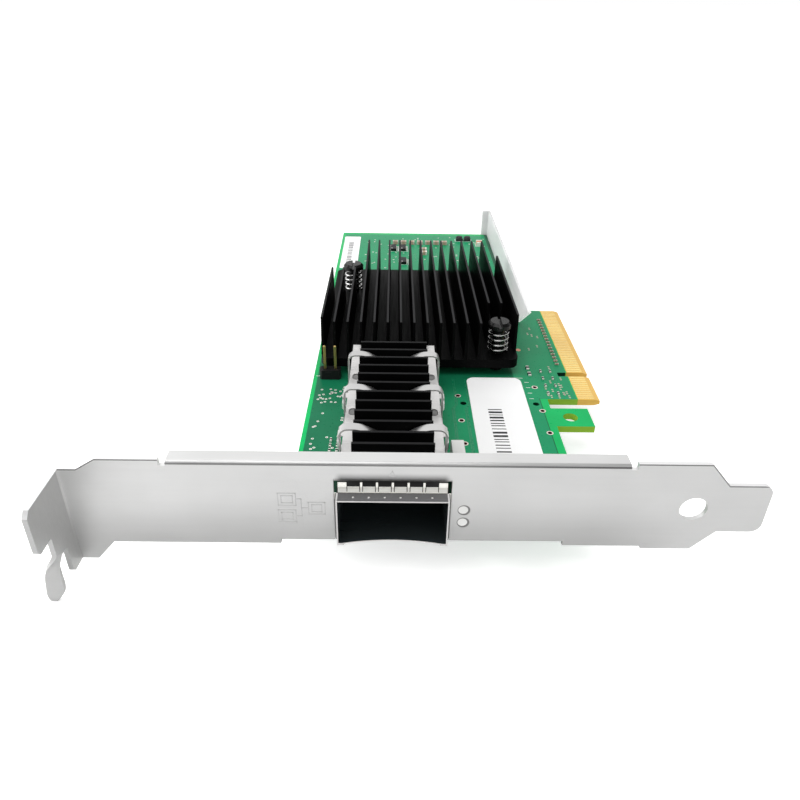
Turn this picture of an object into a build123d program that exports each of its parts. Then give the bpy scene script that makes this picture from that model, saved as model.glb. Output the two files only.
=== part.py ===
from build123d import *
import math
import os

# Network interface card for an expansion slot, with one transceiver port.
# Lengths are in millimetres.
# X runs along the bracket towards the edge connector, Y from the bracket into the card,
# and Z up from the component face of the board. The origin lies on the bracket's outer face,
# on the port's centre line, at the height of the component face.

# Board outline, measured from its front left corner
board_thickness = 1.57
board_front = 5.0
board_left = -19.65
board_length = 167.65
board_corner_radius = 1.0
small_hole_side_count = 8

# Edge connector
connector_start = 43.8
connector_length = 51.4
connector_depth = 12.5
connector_corner = 1.0
key_from_start = 11.2
key_width = 1.9
key_depth = 7.7
bevel_length = 1.3
bevel_height = 0.4
contact_pitch = 1.0
contact_width = 0.7
contact_length = 3.8
contact_thickness = 0.05
before_key_contact_count = 11
after_key_contact_count = 38

# Retention tab beside the connector
tab_start = 32.1
tab_length = 7.6
tab_depth = 8.5
tab_corner_radius = 0.8
tab_notch_radius = 1.8
tab_hole_radius = 1.65
tab_hole_inset = 3.8

# Bracket sheet
sheet = 0.86
bend_outer_radius = 1.1
strip_bend_radius = 0.8
bracket_length = 120.1
bracket_tip = 64.13
bracket_top = 16.9
body_bottom = -0.9
wide_bottom = -1.45
wide_length = 20.18
seat_start = -19.45
seat_end = 30.0
flange_top = 14.8
flange_bottom = -4.8
flange_neck = 3.82
flange_taper = 3.4
tip_top = 12.58
tip_bottom = 2.6
tip_length = 7.63
tip_taper = 3.82
tip_corner_radius = 1.8
strip_from_flange = 18.62
strip_from_tip = 24.78
strip_top = 16.55
strip_depth = 3.2
relief_width = 1.1
relief_depth = 1.2
screw_hole_from_tip = 12.68
screw_hole_z = 7.55
screw_hole_radius = 2.4
window_x = 12.2
window_low = 4.15
window_spacing = 2.7
window_radius = 1.1

# Mounting flange with its fork slot and twisted spring tongue
flange_depth = 11.43
flange_corner = 1.03
fork_height = 6.2
fork_corner = 0.7
tongue_front = -7.1
tongue_width = 1.7
tongue_root = 2.4
slit_width = 1.8
slit_top = 1.2
slit_radius = 0.7
prong_corner = 0.6
tongue_length = 11.0
tongue_offset = 2.7
spoon_width = 3.0
spoon_tip_width = 1.1

# Bracket ears and their screws
ear_width = 8.5
ear_length = 12.5
ear_left_start = -19.1
ear_right_start = 20.2
ear_hole_y = 9.0
ear_corner_radius = 1.5
screw_thread_radius = 1.22
screw_fit = 0.03
screw_board_clearance = 0.38
screw_head_radius = 2.75
screw_head_height = 1.9
screw_head_chamfer = 0.7
screw_stick_out = 0.5
screw_recess_width = 0.6
screw_recess_length = 3.0
screw_recess_depth = 0.9

# Port cage of folded sheet
cage_width = 19.2
cage_height = 9.6
cage_wall = 0.25
cage_overhang = 1.2
cage_rear = 57.0
cage_lip_sag = 1.0
cage_lip_margin = 0.8
cage_floor_end = 36.0
cutout_gap = 0.35
cutout_top = 12.2
cutout_lip_radius = 1.5
cage_pin_first = 30.0
cage_pin_gap_front = 9.1
cage_pin_gap_rear = 10.8
cage_pin_stagger = 4.4
cage_pin_width = 0.7
cage_pin_length = 2.1
cage_pin_hole_radius = 0.55
second_port_offset = 24.8
peg_offset = 8.5
peg_y = 46.5
peg_radius = 0.7
peg_clearance = 0.08
peg_length = 1.2
louvre_first = 27.0
louvre_spacing = 14.5
louvre_length = 2.7
louvre_width = 1.7
louvre_inset = 0.6
hook_length = 1.4
hook_width = 2.0
front_foot_width = 1.3
front_foot_length = 0.6

# Spring-finger gasket on the cage roof
gasket_sheet = 0.15
gasket_inset = 0.3
gasket_gap = 0.09
gasket_front = 1.1
finger_count = 6
finger_pitch = 2.67
finger_rise = 1.3
gasket_rise = 2.2
rib_width = 0.36
gasket_slit = 0.14
side_finger_bottom = 1.1
side_finger_reach = 0.8
side_finger_count = 3

# Connector inside the cage
plug_width = 18.4
plug_front = 40.0
plug_rear = 55.6
plug_height = 8.3
plug_slot_width = 15.4
plug_slot_height = 2.0
plug_slot_bottom = 3.4
plug_slot_depth = 7.0
plug_contact_count = 19
plug_contact_pitch = 0.8
plug_contact_width = 0.35
plug_contact_rise = 0.4

# Heatsink that rides on the cage
rider_width = 15.0
rider_base = 1.3
rider_height = 4.0
rider_fin = 0.6
rider_fin_pitch = 3.68
rider_fin_count = 12
rider_first_fin = 10.2
boss_margin = 1.2
boss_depth = 0.6
boss_clearance = 0.3

# Spring clip over the riding heatsink
clip_sheet = 0.3
clip_gap = 0.25
clip_arm_width = 2.2
clip_arm_count = 3
clip_arm_fin_count = 4
clip_first_gap = 1.5
clip_crest = 2.3
clip_crest_x = 7.7
clip_corner_radius = 1.4
clip_rail_bottom = 5.2
clip_rail_height = 1.6
clip_bulge = 0.8
clip_bulge_length = 5.2
clip_bulge_ramp = 1.4

# Controller package and thermal pad
chip_size = 25.0
chip_substrate = 1.2
lid_size = 21.0
lid_thickness = 0.85
lid_chamfer = 0.3
pad_size = 22.0
pad_thickness = 0.25

# Main heatsink
sink_left_margin = 1.75
sink_right_margin = 5.5
sink_width = 48.75
sink_front = 59.7
sink_length = 61.4
sink_base = 2.2
sink_height = 12.0
sink_corner_radius = 2.5
sink_fin = 0.8
sink_fin_taper = 0.9
sink_fin_count = 16
front_pocket_fin_count = 3
pocket_front_length = 12.4
pocket_wall_setback = 5.3
rear_pocket_fin_count = 3
pocket_rear_length = 24.5
outer_fin_setback = 13.3

# Push pins with coil springs, at two opposite corners of the main heatsink
pin_inset_x = 4.88
pin_inset_front = 4.65
pin_left_inset = 5.95
pin_rear_inset = 17.7
pin_radius = 1.5
pin_clearance = 0.1
pin_head_radius = 2.85
pin_head_height = 1.6
pin_head_chamfer = 0.6
pin_head_top = 13.0
pin_slot_width = 0.8
pin_slot_depth = 0.9
pin_barb_radius = 2.0
pin_barb_length = 2.5
pin_split_width = 0.5
spring_radius = 2.35
spring_wire = 0.55
spring_turn_count = 4.5
spring_end_gap = 0.05
spring_turn_step_count = 10
spring_wire_side_count = 6

# Upright side plate at the rear right edge
plate_sheet = 0.8
plate_height = 9.2
plate_top_start = 78.0
plate_foot_start = 92.0
plate_return = 3.05
plate_bend_radius = 0.9
plate_foot_width = 2.0
plate_foot_depth = 1.3
plate_foot_clearance = 0.1
plate_foot_first = 12.0
plate_foot_pitch = 31.0
plate_foot_count = 3

# Two-pin header
header_x = -15.45
header_y = 58.25
header_pitch = 2.54
header_depth = 2.5
header_height = 2.5
header_chamfer = 0.45
header_pin = 0.64
header_pin_top = 8.7
header_pin_tail = 1.2
header_hole_radius = 0.5

# Light pipe and its lamps
pipe_center = 12.5
pipe_width = 2.4
pipe_front = 2.0
pipe_top = 8.0
pipe_bottom = 3.0
pipe_leg_start = 15.5
pipe_rear = 21.2
pipe_step = 1.6
pipe_pin_clearance = 0.1
lamp_length = 1.6
lamp_width = 0.8
lamp_height = 0.6
lamp_gap = 0.2
lamp_spacing = 2.0

# Labels
label_thickness = 0.12
label_left = 17.97
label_right_margin = 5.03
label_front = 24.0
label_length = 34.7
label_corner_radius = 2.0
tag_left = -18.6
tag_width = 5.9
tag_front = 134.0
tag_length = 33.5
tag_corner_radius = 0.6

# Small parts on the board
cap_length = 2.0
cap_width = 1.6
cap_height = 1.25
cap_row_x = 0.4
cap_row_y = 160.0
cap_row_pitch = 3.0
cap_row_count = 7
filter_x = 10.6
filter_y = 150.4
filter_pitch = 3.4
filter_count = 2
regulator_length = 5.0
regulator_width = 2.7
regulator_height = 0.95
regulator_x = -0.3
regulator_y = 154.4
regulator_pitch = 3.5
regulator_row_pitch = 13.6
inductor_size = 2.4
inductor_height = 1.5
inductor_from_right = 11.95
inductor_y = 165.0
inductor_pitch = 3.0
inductor_count = 2
tantalum_length = 3.4
tantalum_width = 2.2
tantalum_height = 1.4
tantalum_from_right = 4.85
tantalum_y = 160.0
resistor_length = 1.6
resistor_width = 0.8
resistor_height = 0.45
resistor_from_right = 2.35
resistor_y = 60.6
resistor_pitch = 3.2
resistor_count = 2
chip_cap_length = 1.0
chip_cap_width = 0.5
chip_cap_height = 0.5
left_cap_x = -13.2
left_cap_y = 26.6
left_cap_pitch_x = 1.5
left_cap_pitch_y = 2.0
left_cap_column_count = 2
left_cap_row_count = 3
neck_cap_inset = 0.65
neck_cap_y = 51.2
neck_cap_pitch_x = 2.4
neck_cap_pitch_y = 3.6
neck_cap_column_count = 2
neck_cap_row_count = 4
coupling_from_edge = 6.95
coupling_first = 66.0
coupling_pitch = 1.8
coupling_count = 16
under_cap_pitch = 3.2
under_cap_column_count = 4
under_cap_row_count = 4
flash_gap = 3.34
flash_offset = 14.3
flash_length = 5.2
flash_width = 4.0
flash_height = 1.7
flash_lead_reach = 1.0
flash_lead_width = 0.42
flash_lead_pitch = 1.27
flash_lead_count = 4
flash_lead_thickness = 0.2
crystal_offset = 13.66
crystal_gap = 3.6
crystal_length = 3.2
crystal_width = 2.5
crystal_height = 0.8

os.makedirs("parts", exist_ok=True)

# Places that follow from the sizes above
sink_left = board_left + sink_left_margin
sink_right = sink_left + sink_width
board_right = sink_right + sink_right_margin
board_rear = board_front + board_length
connector_edge = board_right + connector_depth
connector_y0 = board_front + connector_start
connector_y1 = connector_y0 + connector_length
key_y0 = connector_y0 + key_from_start
key_y1 = key_y0 + key_width
tab_y0 = board_front + tab_start
tab_y1 = tab_y0 + tab_length
flange_outer = bracket_tip - bracket_length
flange_inner = flange_outer + sheet
flange_shoulder = flange_outer + flange_neck
body_shoulder = flange_shoulder + flange_taper
strip_start = flange_outer + strip_from_flange
strip_end = bracket_tip - strip_from_tip
wide_start = bracket_tip - wide_length
tip_shoulder = bracket_tip - tip_length
wide_shoulder = tip_shoulder - tip_taper
screw_hole_x = bracket_tip - screw_hole_from_tip
half_cage = cage_width / 2
cage_wall_middle = half_cage - cage_wall / 2
cage_pins_left = [
    cage_pin_first,
    cage_pin_first + cage_pin_gap_front,
    cage_pin_first + cage_pin_gap_front + cage_pin_gap_rear,
]
cage_pins_right = [y + cage_pin_stagger for y in cage_pins_left]
sink_rear = sink_front + sink_length
sink_bottom = chip_substrate + lid_thickness + pad_thickness
sink_base_top = sink_bottom + sink_base
pin_spots = [
    (sink_right - pin_inset_x, sink_front + pin_inset_front),
    (sink_left + pin_left_inset, sink_rear - pin_rear_inset),
]
chip_x = (pin_spots[0][0] + pin_spots[1][0]) / 2
chip_y = (pin_spots[0][1] + pin_spots[1][1]) / 2
flash_x = chip_x - (chip_size + flash_width) / 2 - flash_lead_reach - flash_gap
flash_y = chip_y - flash_offset
plate_inner = board_right - plate_sheet
plate_foot_spots = [
    plate_foot_start + plate_foot_first + i * plate_foot_pitch for i in range(plate_foot_count)
]
label_width = board_right - label_right_margin - label_left
header_spots = [(header_x - header_pitch / 2, header_y), (header_x + header_pitch / 2, header_y)]
ear_spots = [
    (ear_left_start + ear_width / 2, ear_hole_y),
    (ear_right_start + ear_width / 2, ear_hole_y),
]
window_heights = [window_low, window_low + window_spacing]
rider_fin_spots = [rider_first_fin + i * rider_fin_pitch for i in range(rider_fin_count)]
rider_front = rider_fin_spots[0] - rider_fin / 2
rider_rear = rider_fin_spots[-1] + rider_fin / 2
rider_top = cage_height + rider_height
boss_width = rider_width - 2 * boss_margin
boss_y0 = rider_front + boss_margin
boss_y1 = rider_rear - boss_margin
clip_arm_spots = [
    rider_first_fin + (clip_first_gap + i * clip_arm_fin_count) * rider_fin_pitch
    for i in range(clip_arm_count)
]
clip_inner = half_cage + clip_gap
clip_rail_top = clip_rail_bottom + clip_rail_height
bulge_spots = [
    (clip_arm_spots[i] + clip_arm_spots[i + 1]) / 2 for i in range(clip_arm_count - 1)
]


def centered(first, pitch, count):
    """Places of a row of like pieces, from the first one."""
    return [first + i * pitch for i in range(count)]


def corners_at(sketch, spots):
    """Corners of a sketch that lie on the given points."""
    return [v for v in sketch.vertices() for x, y in spots if abs(v.X - x) + abs(v.Y - y) < 0.01]


# Board with its edge connector, retention tab and plated holes
with BuildPart() as board:
    with BuildSketch(Plane.XY.offset(-board_thickness)) as board_outline:
        with BuildLine():
            Polyline(
                (board_left, board_front),
                (board_right, board_front),
                (board_right, tab_y0),
                (board_right + tab_depth, tab_y0),
                (board_right + tab_depth, tab_y1),
                (board_right, tab_y1),
                (board_right, connector_y0),
                (connector_edge, connector_y0),
                (connector_edge, key_y0),
                (connector_edge - key_depth, key_y0),
                (connector_edge - key_depth, key_y1),
                (connector_edge, key_y1),
                (connector_edge, connector_y1),
                (board_right, connector_y1),
                (board_right, board_rear),
                (board_left, board_rear),
                close=True,
            )
        make_face()
        fillet(
            corners_at(
                board_outline.sketch,
                [(board_left, board_front), (board_left, board_rear), (board_right, board_rear)],
            ),
            board_corner_radius,
        )
        fillet(
            corners_at(
                board_outline.sketch,
                [(board_right + tab_depth, tab_y0), (board_right + tab_depth, tab_y1)],
            ),
            tab_corner_radius,
        )
        fillet(
            corners_at(board_outline.sketch, [(board_right, tab_y1), (board_right, connector_y0)]),
            tab_notch_radius,
        )
        fillet(
            corners_at(
                board_outline.sketch,
                [(connector_edge - key_depth, key_y0), (connector_edge - key_depth, key_y1)],
            ),
            0.48 * key_width,
        )
        chamfer(
            corners_at(
                board_outline.sketch, [(connector_edge, connector_y0), (connector_edge, connector_y1)]
            ),
            connector_corner,
        )
        with Locations((board_right + tab_hole_inset, (tab_y0 + tab_y1) / 2)):
            Circle(tab_hole_radius, mode=Mode.SUBTRACT)
        with Locations(*pin_spots):
            Circle(pin_radius + pin_clearance, mode=Mode.SUBTRACT)
        with Locations(*ear_spots):
            Circle(screw_thread_radius + screw_board_clearance, mode=Mode.SUBTRACT)
        # Small plated holes are many-sided to keep their facets few
        with Locations(*header_spots):
            RegularPolygon(header_hole_radius, small_hole_side_count, mode=Mode.SUBTRACT)
        for port_x in (0, second_port_offset):
            with Locations(*[(port_x - cage_wall_middle, y) for y in cage_pins_left]):
                RegularPolygon(cage_pin_hole_radius, small_hole_side_count, mode=Mode.SUBTRACT)
            with Locations(*[(port_x + cage_wall_middle, y) for y in cage_pins_right]):
                RegularPolygon(cage_pin_hole_radius, small_hole_side_count, mode=Mode.SUBTRACT)
            with Locations((port_x - peg_offset, peg_y), (port_x + peg_offset, peg_y)):
                RegularPolygon(peg_radius + peg_clearance, small_hole_side_count, mode=Mode.SUBTRACT)
        with Locations(*[(plate_inner + plate_sheet / 2, y) for y in plate_foot_spots]):
            Rectangle(
                plate_sheet + 2 * plate_foot_clearance,
                plate_foot_width + 2 * plate_foot_clearance,
                mode=Mode.SUBTRACT,
            )
    extrude(amount=board_thickness)
    # Both faces of the connector's edge are bevelled to lead it into the slot
    with BuildSketch(Plane.XZ.offset(-connector_y0)) as bevel:
        with BuildLine():
            Polyline(
                (connector_edge - bevel_length, 0),
                (connector_edge, -bevel_height),
                (connector_edge, 0),
                close=True,
            )
        make_face()
        mirror(about=Plane.XZ.offset(board_thickness / 2))
    extrude(amount=-connector_length, mode=Mode.SUBTRACT)
board.part.label = "board"
export_step(board.part, "parts/board.step")

# Gold contacts on both faces of the edge connector
contact_middle = connector_edge - bevel_length - contact_length / 2
before_key_first = (connector_y0 + key_y0 - (before_key_contact_count - 1) * contact_pitch) / 2
after_key_first = (key_y1 + connector_y1 - (after_key_contact_count - 1) * contact_pitch) / 2
contact_spots = [
    (contact_middle, y)
    for y in centered(before_key_first, contact_pitch, before_key_contact_count)
    + centered(after_key_first, contact_pitch, after_key_contact_count)
]
with BuildPart() as edge_contacts:
    with BuildSketch(Plane.XY):
        with Locations(*contact_spots):
            Rectangle(contact_length, contact_width)
    extrude(amount=contact_thickness)
    with BuildSketch(Plane.XY.offset(-board_thickness)):
        with Locations(*contact_spots):
            Rectangle(contact_length, contact_width)
    extrude(amount=-contact_thickness)
edge_contacts.part.label = "edge_contacts"
export_step(edge_contacts.part, "parts/edge_contacts.step")

# Bracket: one folded sheet with top strip, ears, end tab, flange and spring tongue
half_cutout = half_cage + cutout_gap
prong_front = tongue_front + tongue_width + slit_width
with BuildPart() as bracket:
    with BuildSketch(Plane.XZ) as face_plate:
        with BuildLine():
            Polyline(
                (flange_outer, flange_bottom),
                (flange_shoulder, flange_bottom),
                (body_shoulder, body_bottom),
                (seat_start, body_bottom),
                (seat_start, 0),
                (-half_cutout, 0),
                (-half_cutout, cutout_top + cutout_lip_radius),
                (half_cutout, cutout_top + cutout_lip_radius),
                (half_cutout, 0),
                (seat_end, 0),
                (seat_end, body_bottom),
                (wide_start, body_bottom),
                (wide_start, wide_bottom),
                (wide_shoulder, wide_bottom),
                (tip_shoulder, tip_bottom),
                (bracket_tip, tip_bottom),
                (bracket_tip, tip_top),
                (tip_shoulder, tip_top),
                (wide_shoulder, bracket_top),
                (strip_end + relief_width, bracket_top),
                (strip_end + relief_width, bracket_top - relief_depth),
                (strip_end, bracket_top - relief_depth),
                (strip_end, strip_top),
                (strip_start, strip_top),
                (strip_start, bracket_top - relief_depth),
                (strip_start - relief_width, bracket_top - relief_depth),
                (strip_start - relief_width, bracket_top),
                (body_shoulder, bracket_top),
                (flange_shoulder, flange_top),
                (flange_outer, flange_top),
                close=True,
            )
        make_face()
        fillet(
            corners_at(face_plate.sketch_local, [(bracket_tip, tip_bottom), (bracket_tip, tip_top)]),
            tip_corner_radius,
        )
        with Locations((screw_hole_x, screw_hole_z)):
            Circle(screw_hole_radius, mode=Mode.SUBTRACT)
        with Locations(*[(window_x, z) for z in window_heights]):
            Circle(window_radius, mode=Mode.SUBTRACT)
    extrude(amount=-sheet)
    # Lip rolled inward over the port
    with BuildSketch(Plane.YZ.offset(-half_cutout)):
        with Locations((cutout_lip_radius, cutout_top + cutout_lip_radius)):
            Circle(cutout_lip_radius)
            Circle(cutout_lip_radius - sheet, mode=Mode.SUBTRACT)
            Rectangle(
                cutout_lip_radius, cutout_lip_radius, align=(Align.MAX, Align.MAX), mode=Mode.INTERSECT
            )
    extrude(amount=2 * half_cutout)
    # Strip folded back along the top edge
    with BuildSketch(Plane.XY.offset(strip_top - sheet)):
        with Locations(((strip_start + strip_end) / 2, strip_depth / 2)):
            Rectangle(strip_end - strip_start, strip_depth)
    extrude(amount=sheet)
    # Ears that lie on the board
    with BuildSketch(Plane.XY) as ears:
        for start in (ear_left_start, ear_right_start):
            with Locations((start + ear_width / 2, ear_length / 2)):
                Rectangle(ear_width, ear_length)
        fillet(ears.vertices().group_by(Axis.Y)[-1], ear_corner_radius)
        with Locations(*ear_spots):
            Circle(screw_thread_radius + screw_fit, mode=Mode.SUBTRACT)
    extrude(amount=sheet)
    # Mounting flange with its open fork slot
    with BuildSketch(Plane.YZ.offset(flange_outer)) as flange:
        with BuildLine():
            Polyline(
                (sheet, flange_top),
                (flange_corner - flange_depth, flange_top),
                (-flange_depth, flange_top - flange_corner),
                (-flange_depth, fork_height + fork_corner),
                (fork_corner - flange_depth, fork_height),
                (tongue_front, fork_height),
                (tongue_front, tongue_root),
                (tongue_front + tongue_width, slit_top),
                (prong_front, slit_top),
                (prong_front, flange_bottom + prong_corner),
                (prong_front + prong_corner, flange_bottom),
                (sheet, flange_bottom),
                close=True,
            )
        make_face()
        fillet(corners_at(flange.sketch_local, [(prong_front, slit_top)]), slit_radius)
    extrude(amount=sheet)
    # Bend radii of the sheet
    flange_corners = bracket.edges().filter_by(Axis.Z)
    fillet(
        flange_corners.filter_by_position(Axis.X, flange_outer, flange_outer).filter_by_position(
            Axis.Y, sheet, sheet
        ),
        bend_outer_radius,
    )
    strip_bend = bracket.edges().filter_by(Axis.X).filter_by_position(Axis.Z, strip_top, strip_top)
    fillet(strip_bend.filter_by_position(Axis.Y, 0, 0), strip_bend_radius)
    # Spring tongue, twisted a quarter turn as it runs down to its spoon
    tongue_middle = tongue_front + tongue_width / 2
    for rise, offset, width, turn in (
        (0, 0, tongue_width, 0),
        (0.12, 0.13, tongue_width, 26),
        (0.24, 0.37, 1.1 * tongue_width, 55),
        (0.45, 0.61, 0.83 * spoon_width, 80),
        (0.68, 0.69, spoon_width, 90),
        (1, 1, spoon_tip_width, 90),
    ):
        tongue_x = flange_outer + sheet / 2 - offset * tongue_offset
        across = (-math.sin(math.radians(turn)), -math.cos(math.radians(turn)), 0)
        section = Plane(
            origin=(tongue_x, tongue_middle, tongue_root - rise * tongue_length),
            x_dir=across,
            z_dir=(0, 0, 1),
        )
        with BuildSketch(section):
            Rectangle(width, sheet)
    loft()
bracket.part.label = "bracket"
export_step(bracket.part, "parts/bracket.step")

# Screws that hold the board to the bracket's ears
with BuildPart() as bracket_screws:
    with BuildSketch(Plane.XY.offset(-board_thickness)):
        with Locations(*ear_spots):
            Circle(screw_head_radius)
    extrude(amount=-screw_head_height)
    chamfer(bracket_screws.edges().group_by(Axis.Z)[0], screw_head_chamfer)
    with BuildSketch(Plane.XY.offset(-board_thickness)):
        with Locations(*ear_spots):
            RegularPolygon(screw_thread_radius, small_hole_side_count)
    extrude(amount=board_thickness + sheet + screw_stick_out)
    with BuildSketch(Plane.XY.offset(-board_thickness - screw_head_height)):
        with Locations(*ear_spots):
            Rectangle(screw_recess_length, screw_recess_width)
            Rectangle(screw_recess_width, screw_recess_length)
    extrude(amount=screw_recess_depth, mode=Mode.SUBTRACT)
bracket_screws.part.label = "bracket_screws"
export_step(bracket_screws.part, "parts/bracket_screws.step")

# Port cage: a folded sheet box, open at the front, with press-in pins
with BuildPart() as port_cage:
    with BuildSketch(Plane.XZ.offset(cage_overhang)):
        with Locations((0, cage_height / 2)):
            Rectangle(cage_width, cage_height)
            Rectangle(cage_width - 2 * cage_wall, cage_height - 2 * cage_wall, mode=Mode.SUBTRACT)
    extrude(amount=-(cage_overhang + cage_rear))
    with BuildSketch(Plane.XZ.offset(-cage_rear)):
        with Locations((0, cage_height / 2)):
            Rectangle(cage_width, cage_height)
    extrude(amount=cage_wall)
    # The floor's front edge is hollowed, and its rear is open for the connector
    with BuildSketch(Plane.XY):
        lip_half = half_cage - cage_lip_margin
        with BuildLine():
            ThreePointArc(
                (-lip_half, -cage_overhang),
                (0, cage_lip_sag - cage_overhang),
                (lip_half, -cage_overhang),
            )
            Line((lip_half, -cage_overhang), (-lip_half, -cage_overhang))
        make_face()
        with Locations((0, (cage_floor_end + cage_rear - cage_wall) / 2)):
            Rectangle(cage_width - 2 * cage_wall, cage_rear - cage_wall - cage_floor_end)
    extrude(amount=cage_wall, mode=Mode.SUBTRACT)
    # Window in the roof for the heatsink's boss, and the louvres beside it
    louvre_spots = [louvre_first, louvre_first + louvre_spacing]
    louvre_x = half_cage - louvre_inset - louvre_width / 2
    with BuildSketch(Plane.XY.offset(cage_height - cage_wall)):
        with Locations((0, (boss_y0 + boss_y1) / 2)):
            Rectangle(boss_width + 2 * boss_clearance, boss_y1 - boss_y0 + 2 * boss_clearance)
        with Locations(*[(side * louvre_x, y) for side in (-1, 1) for y in louvre_spots]):
            SlotOverall(louvre_length, louvre_width, rotation=90)
    extrude(amount=cage_wall, mode=Mode.SUBTRACT)
    # Press-in pins under the side walls
    with BuildSketch(Plane.XY):
        with Locations(*[(-cage_wall_middle, y) for y in cage_pins_left]):
            Rectangle(cage_wall, cage_pin_width)
        with Locations(*[(cage_wall_middle, y) for y in cage_pins_right]):
            Rectangle(cage_wall, cage_pin_width)
    extrude(amount=-cage_pin_length)
    # Feet at the lower front corners
    foot_x = half_cage - front_foot_width / 2
    with BuildSketch(Plane.XY):
        with Locations(*[(side * foot_x, front_foot_length / 2 - cage_overhang) for side in (-1, 1)]):
            Rectangle(front_foot_width, front_foot_length)
    extrude(amount=-cage_wall)
    # Hooks on the side walls that hold the clip's rails down
    with BuildSketch(Plane.XY.offset(clip_rail_top)):
        for side in (-1, 1):
            with Locations(*[(side * (half_cage + hook_length / 2), y) for y in bulge_spots]):
                Rectangle(hook_length, hook_width)
    extrude(amount=cage_wall)
port_cage.part.label = "port_cage"
export_step(port_cage.part, "parts/port_cage.step")

# Gasket: a band on the cage roof and a strip on each side, whose rear edges stand out as fingers
comb_front = sheet + gasket_gap
comb_half = half_cage - gasket_inset
finger_spots = centered(-finger_pitch * (finger_count - 1) / 2, finger_pitch, finger_count)
with BuildPart() as cage_gasket:
    with BuildSketch(Plane.XY.offset(cage_height)):
        with Locations((0, (comb_front + gasket_sheet - gasket_front) / 2)):
            Rectangle(2 * comb_half, gasket_front + comb_front + gasket_sheet)
    extrude(amount=gasket_sheet)
    with BuildSketch(Plane.XZ.offset(-comb_front)):
        with Locations((0, cage_height + gasket_rise / 2)):
            Rectangle(2 * comb_half, gasket_rise)
        with Locations(*[(x, cage_height + (finger_rise + gasket_rise) / 2) for x in finger_spots]):
            Rectangle(finger_pitch - rib_width, gasket_rise - finger_rise, mode=Mode.SUBTRACT)
        slit_x = (finger_pitch - rib_width - gasket_slit) / 2
        slit_middle = cage_height + (gasket_sheet + finger_rise) / 2
        with Locations(*[(x + side * slit_x, slit_middle) for x in finger_spots for side in (-1, 1)]):
            Rectangle(gasket_slit, finger_rise - gasket_sheet, mode=Mode.SUBTRACT)
        side_height = cage_height - side_finger_bottom
        for side in (-1, 1):
            side_middle = side * (half_cage + side_finger_reach / 2)
            with Locations((side_middle, side_finger_bottom + side_height / 2)):
                Rectangle(side_finger_reach, side_height)
        side_pitch = side_height / side_finger_count
        side_slits = centered(side_finger_bottom + side_pitch, side_pitch, side_finger_count - 1)
        side_slit_x = half_cage + (gasket_sheet + side_finger_reach) / 2
        with Locations(*[(side * side_slit_x, z) for z in side_slits for side in (-1, 1)]):
            Rectangle(side_finger_reach - gasket_sheet, gasket_slit, mode=Mode.SUBTRACT)
    extrude(amount=-gasket_sheet)
    with BuildSketch(Plane.XY.offset(side_finger_bottom)):
        for side in (-1, 1):
            with Locations(
                (side * (half_cage + gasket_sheet / 2), (comb_front + gasket_sheet - gasket_front) / 2)
            ):
                Rectangle(gasket_sheet, gasket_front + comb_front + gasket_sheet)
    extrude(amount=side_height)
cage_gasket.part.label = "cage_gasket"
export_step(cage_gasket.part, "parts/cage_gasket.step")

# Connector body in the rear of the cage, with its slot and locating pegs
with BuildPart() as port_connector:
    with BuildSketch(Plane.XY):
        with Locations((0, (plug_front + plug_rear) / 2)):
            Rectangle(plug_width, plug_rear - plug_front)
    extrude(amount=plug_height)
    chamfer(port_connector.edges().filter_by(Axis.X).group_by(Axis.Z)[-1], 0.4)
    with BuildSketch(Plane.XZ.offset(-plug_front)):
        with Locations((0, plug_slot_bottom + plug_slot_height / 2)):
            Rectangle(plug_slot_width, plug_slot_height)
    extrude(amount=-plug_slot_depth, mode=Mode.SUBTRACT)
    with BuildSketch(Plane.XY):
        with Locations((-peg_offset, peg_y), (peg_offset, peg_y)):
            RegularPolygon(peg_radius, small_hole_side_count)
    extrude(amount=-peg_length)
port_connector.part.label = "port_connector"
export_step(port_connector.part, "parts/port_connector.step")

# Contact rows on the floor and roof of the connector's slot
plug_contact_first = -plug_contact_pitch * (plug_contact_count - 1) / 2
plug_contact_spots = [
    (x, plug_front + plug_slot_depth / 2)
    for x in centered(plug_contact_first, plug_contact_pitch, plug_contact_count)
]
with BuildPart() as port_contacts:
    with BuildSketch(Plane.XY.offset(plug_slot_bottom)):
        with Locations(*plug_contact_spots):
            Rectangle(plug_contact_width, plug_slot_depth)
    extrude(amount=plug_contact_rise)
    with BuildSketch(Plane.XY.offset(plug_slot_bottom + plug_slot_height)):
        with Locations(*plug_contact_spots):
            Rectangle(plug_contact_width, plug_slot_depth)
    extrude(amount=-plug_contact_rise)
port_contacts.part.label = "port_contacts"
export_step(port_contacts.part, "parts/port_contacts.step")

# Heatsink that rides on the cage: its boss hangs through the roof window
with BuildPart() as cage_heatsink:
    with BuildSketch(Plane.XY.offset(cage_height)):
        with Locations((0, (rider_front + rider_rear) / 2)):
            Rectangle(rider_width, rider_rear - rider_front)
    extrude(amount=rider_base)
    with BuildSketch(Plane.XY.offset(cage_height + rider_base)):
        with Locations(*[(0, y) for y in rider_fin_spots]):
            Rectangle(rider_width, rider_fin)
    extrude(amount=rider_height - rider_base)
    with BuildSketch(Plane.XY.offset(cage_height)):
        with Locations((0, (boss_y0 + boss_y1) / 2)):
            Rectangle(boss_width, boss_y1 - boss_y0)
    extrude(amount=-boss_depth, taper=30)
cage_heatsink.part.label = "cage_heatsink"
export_step(cage_heatsink.part, "parts/cage_heatsink.step")

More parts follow.
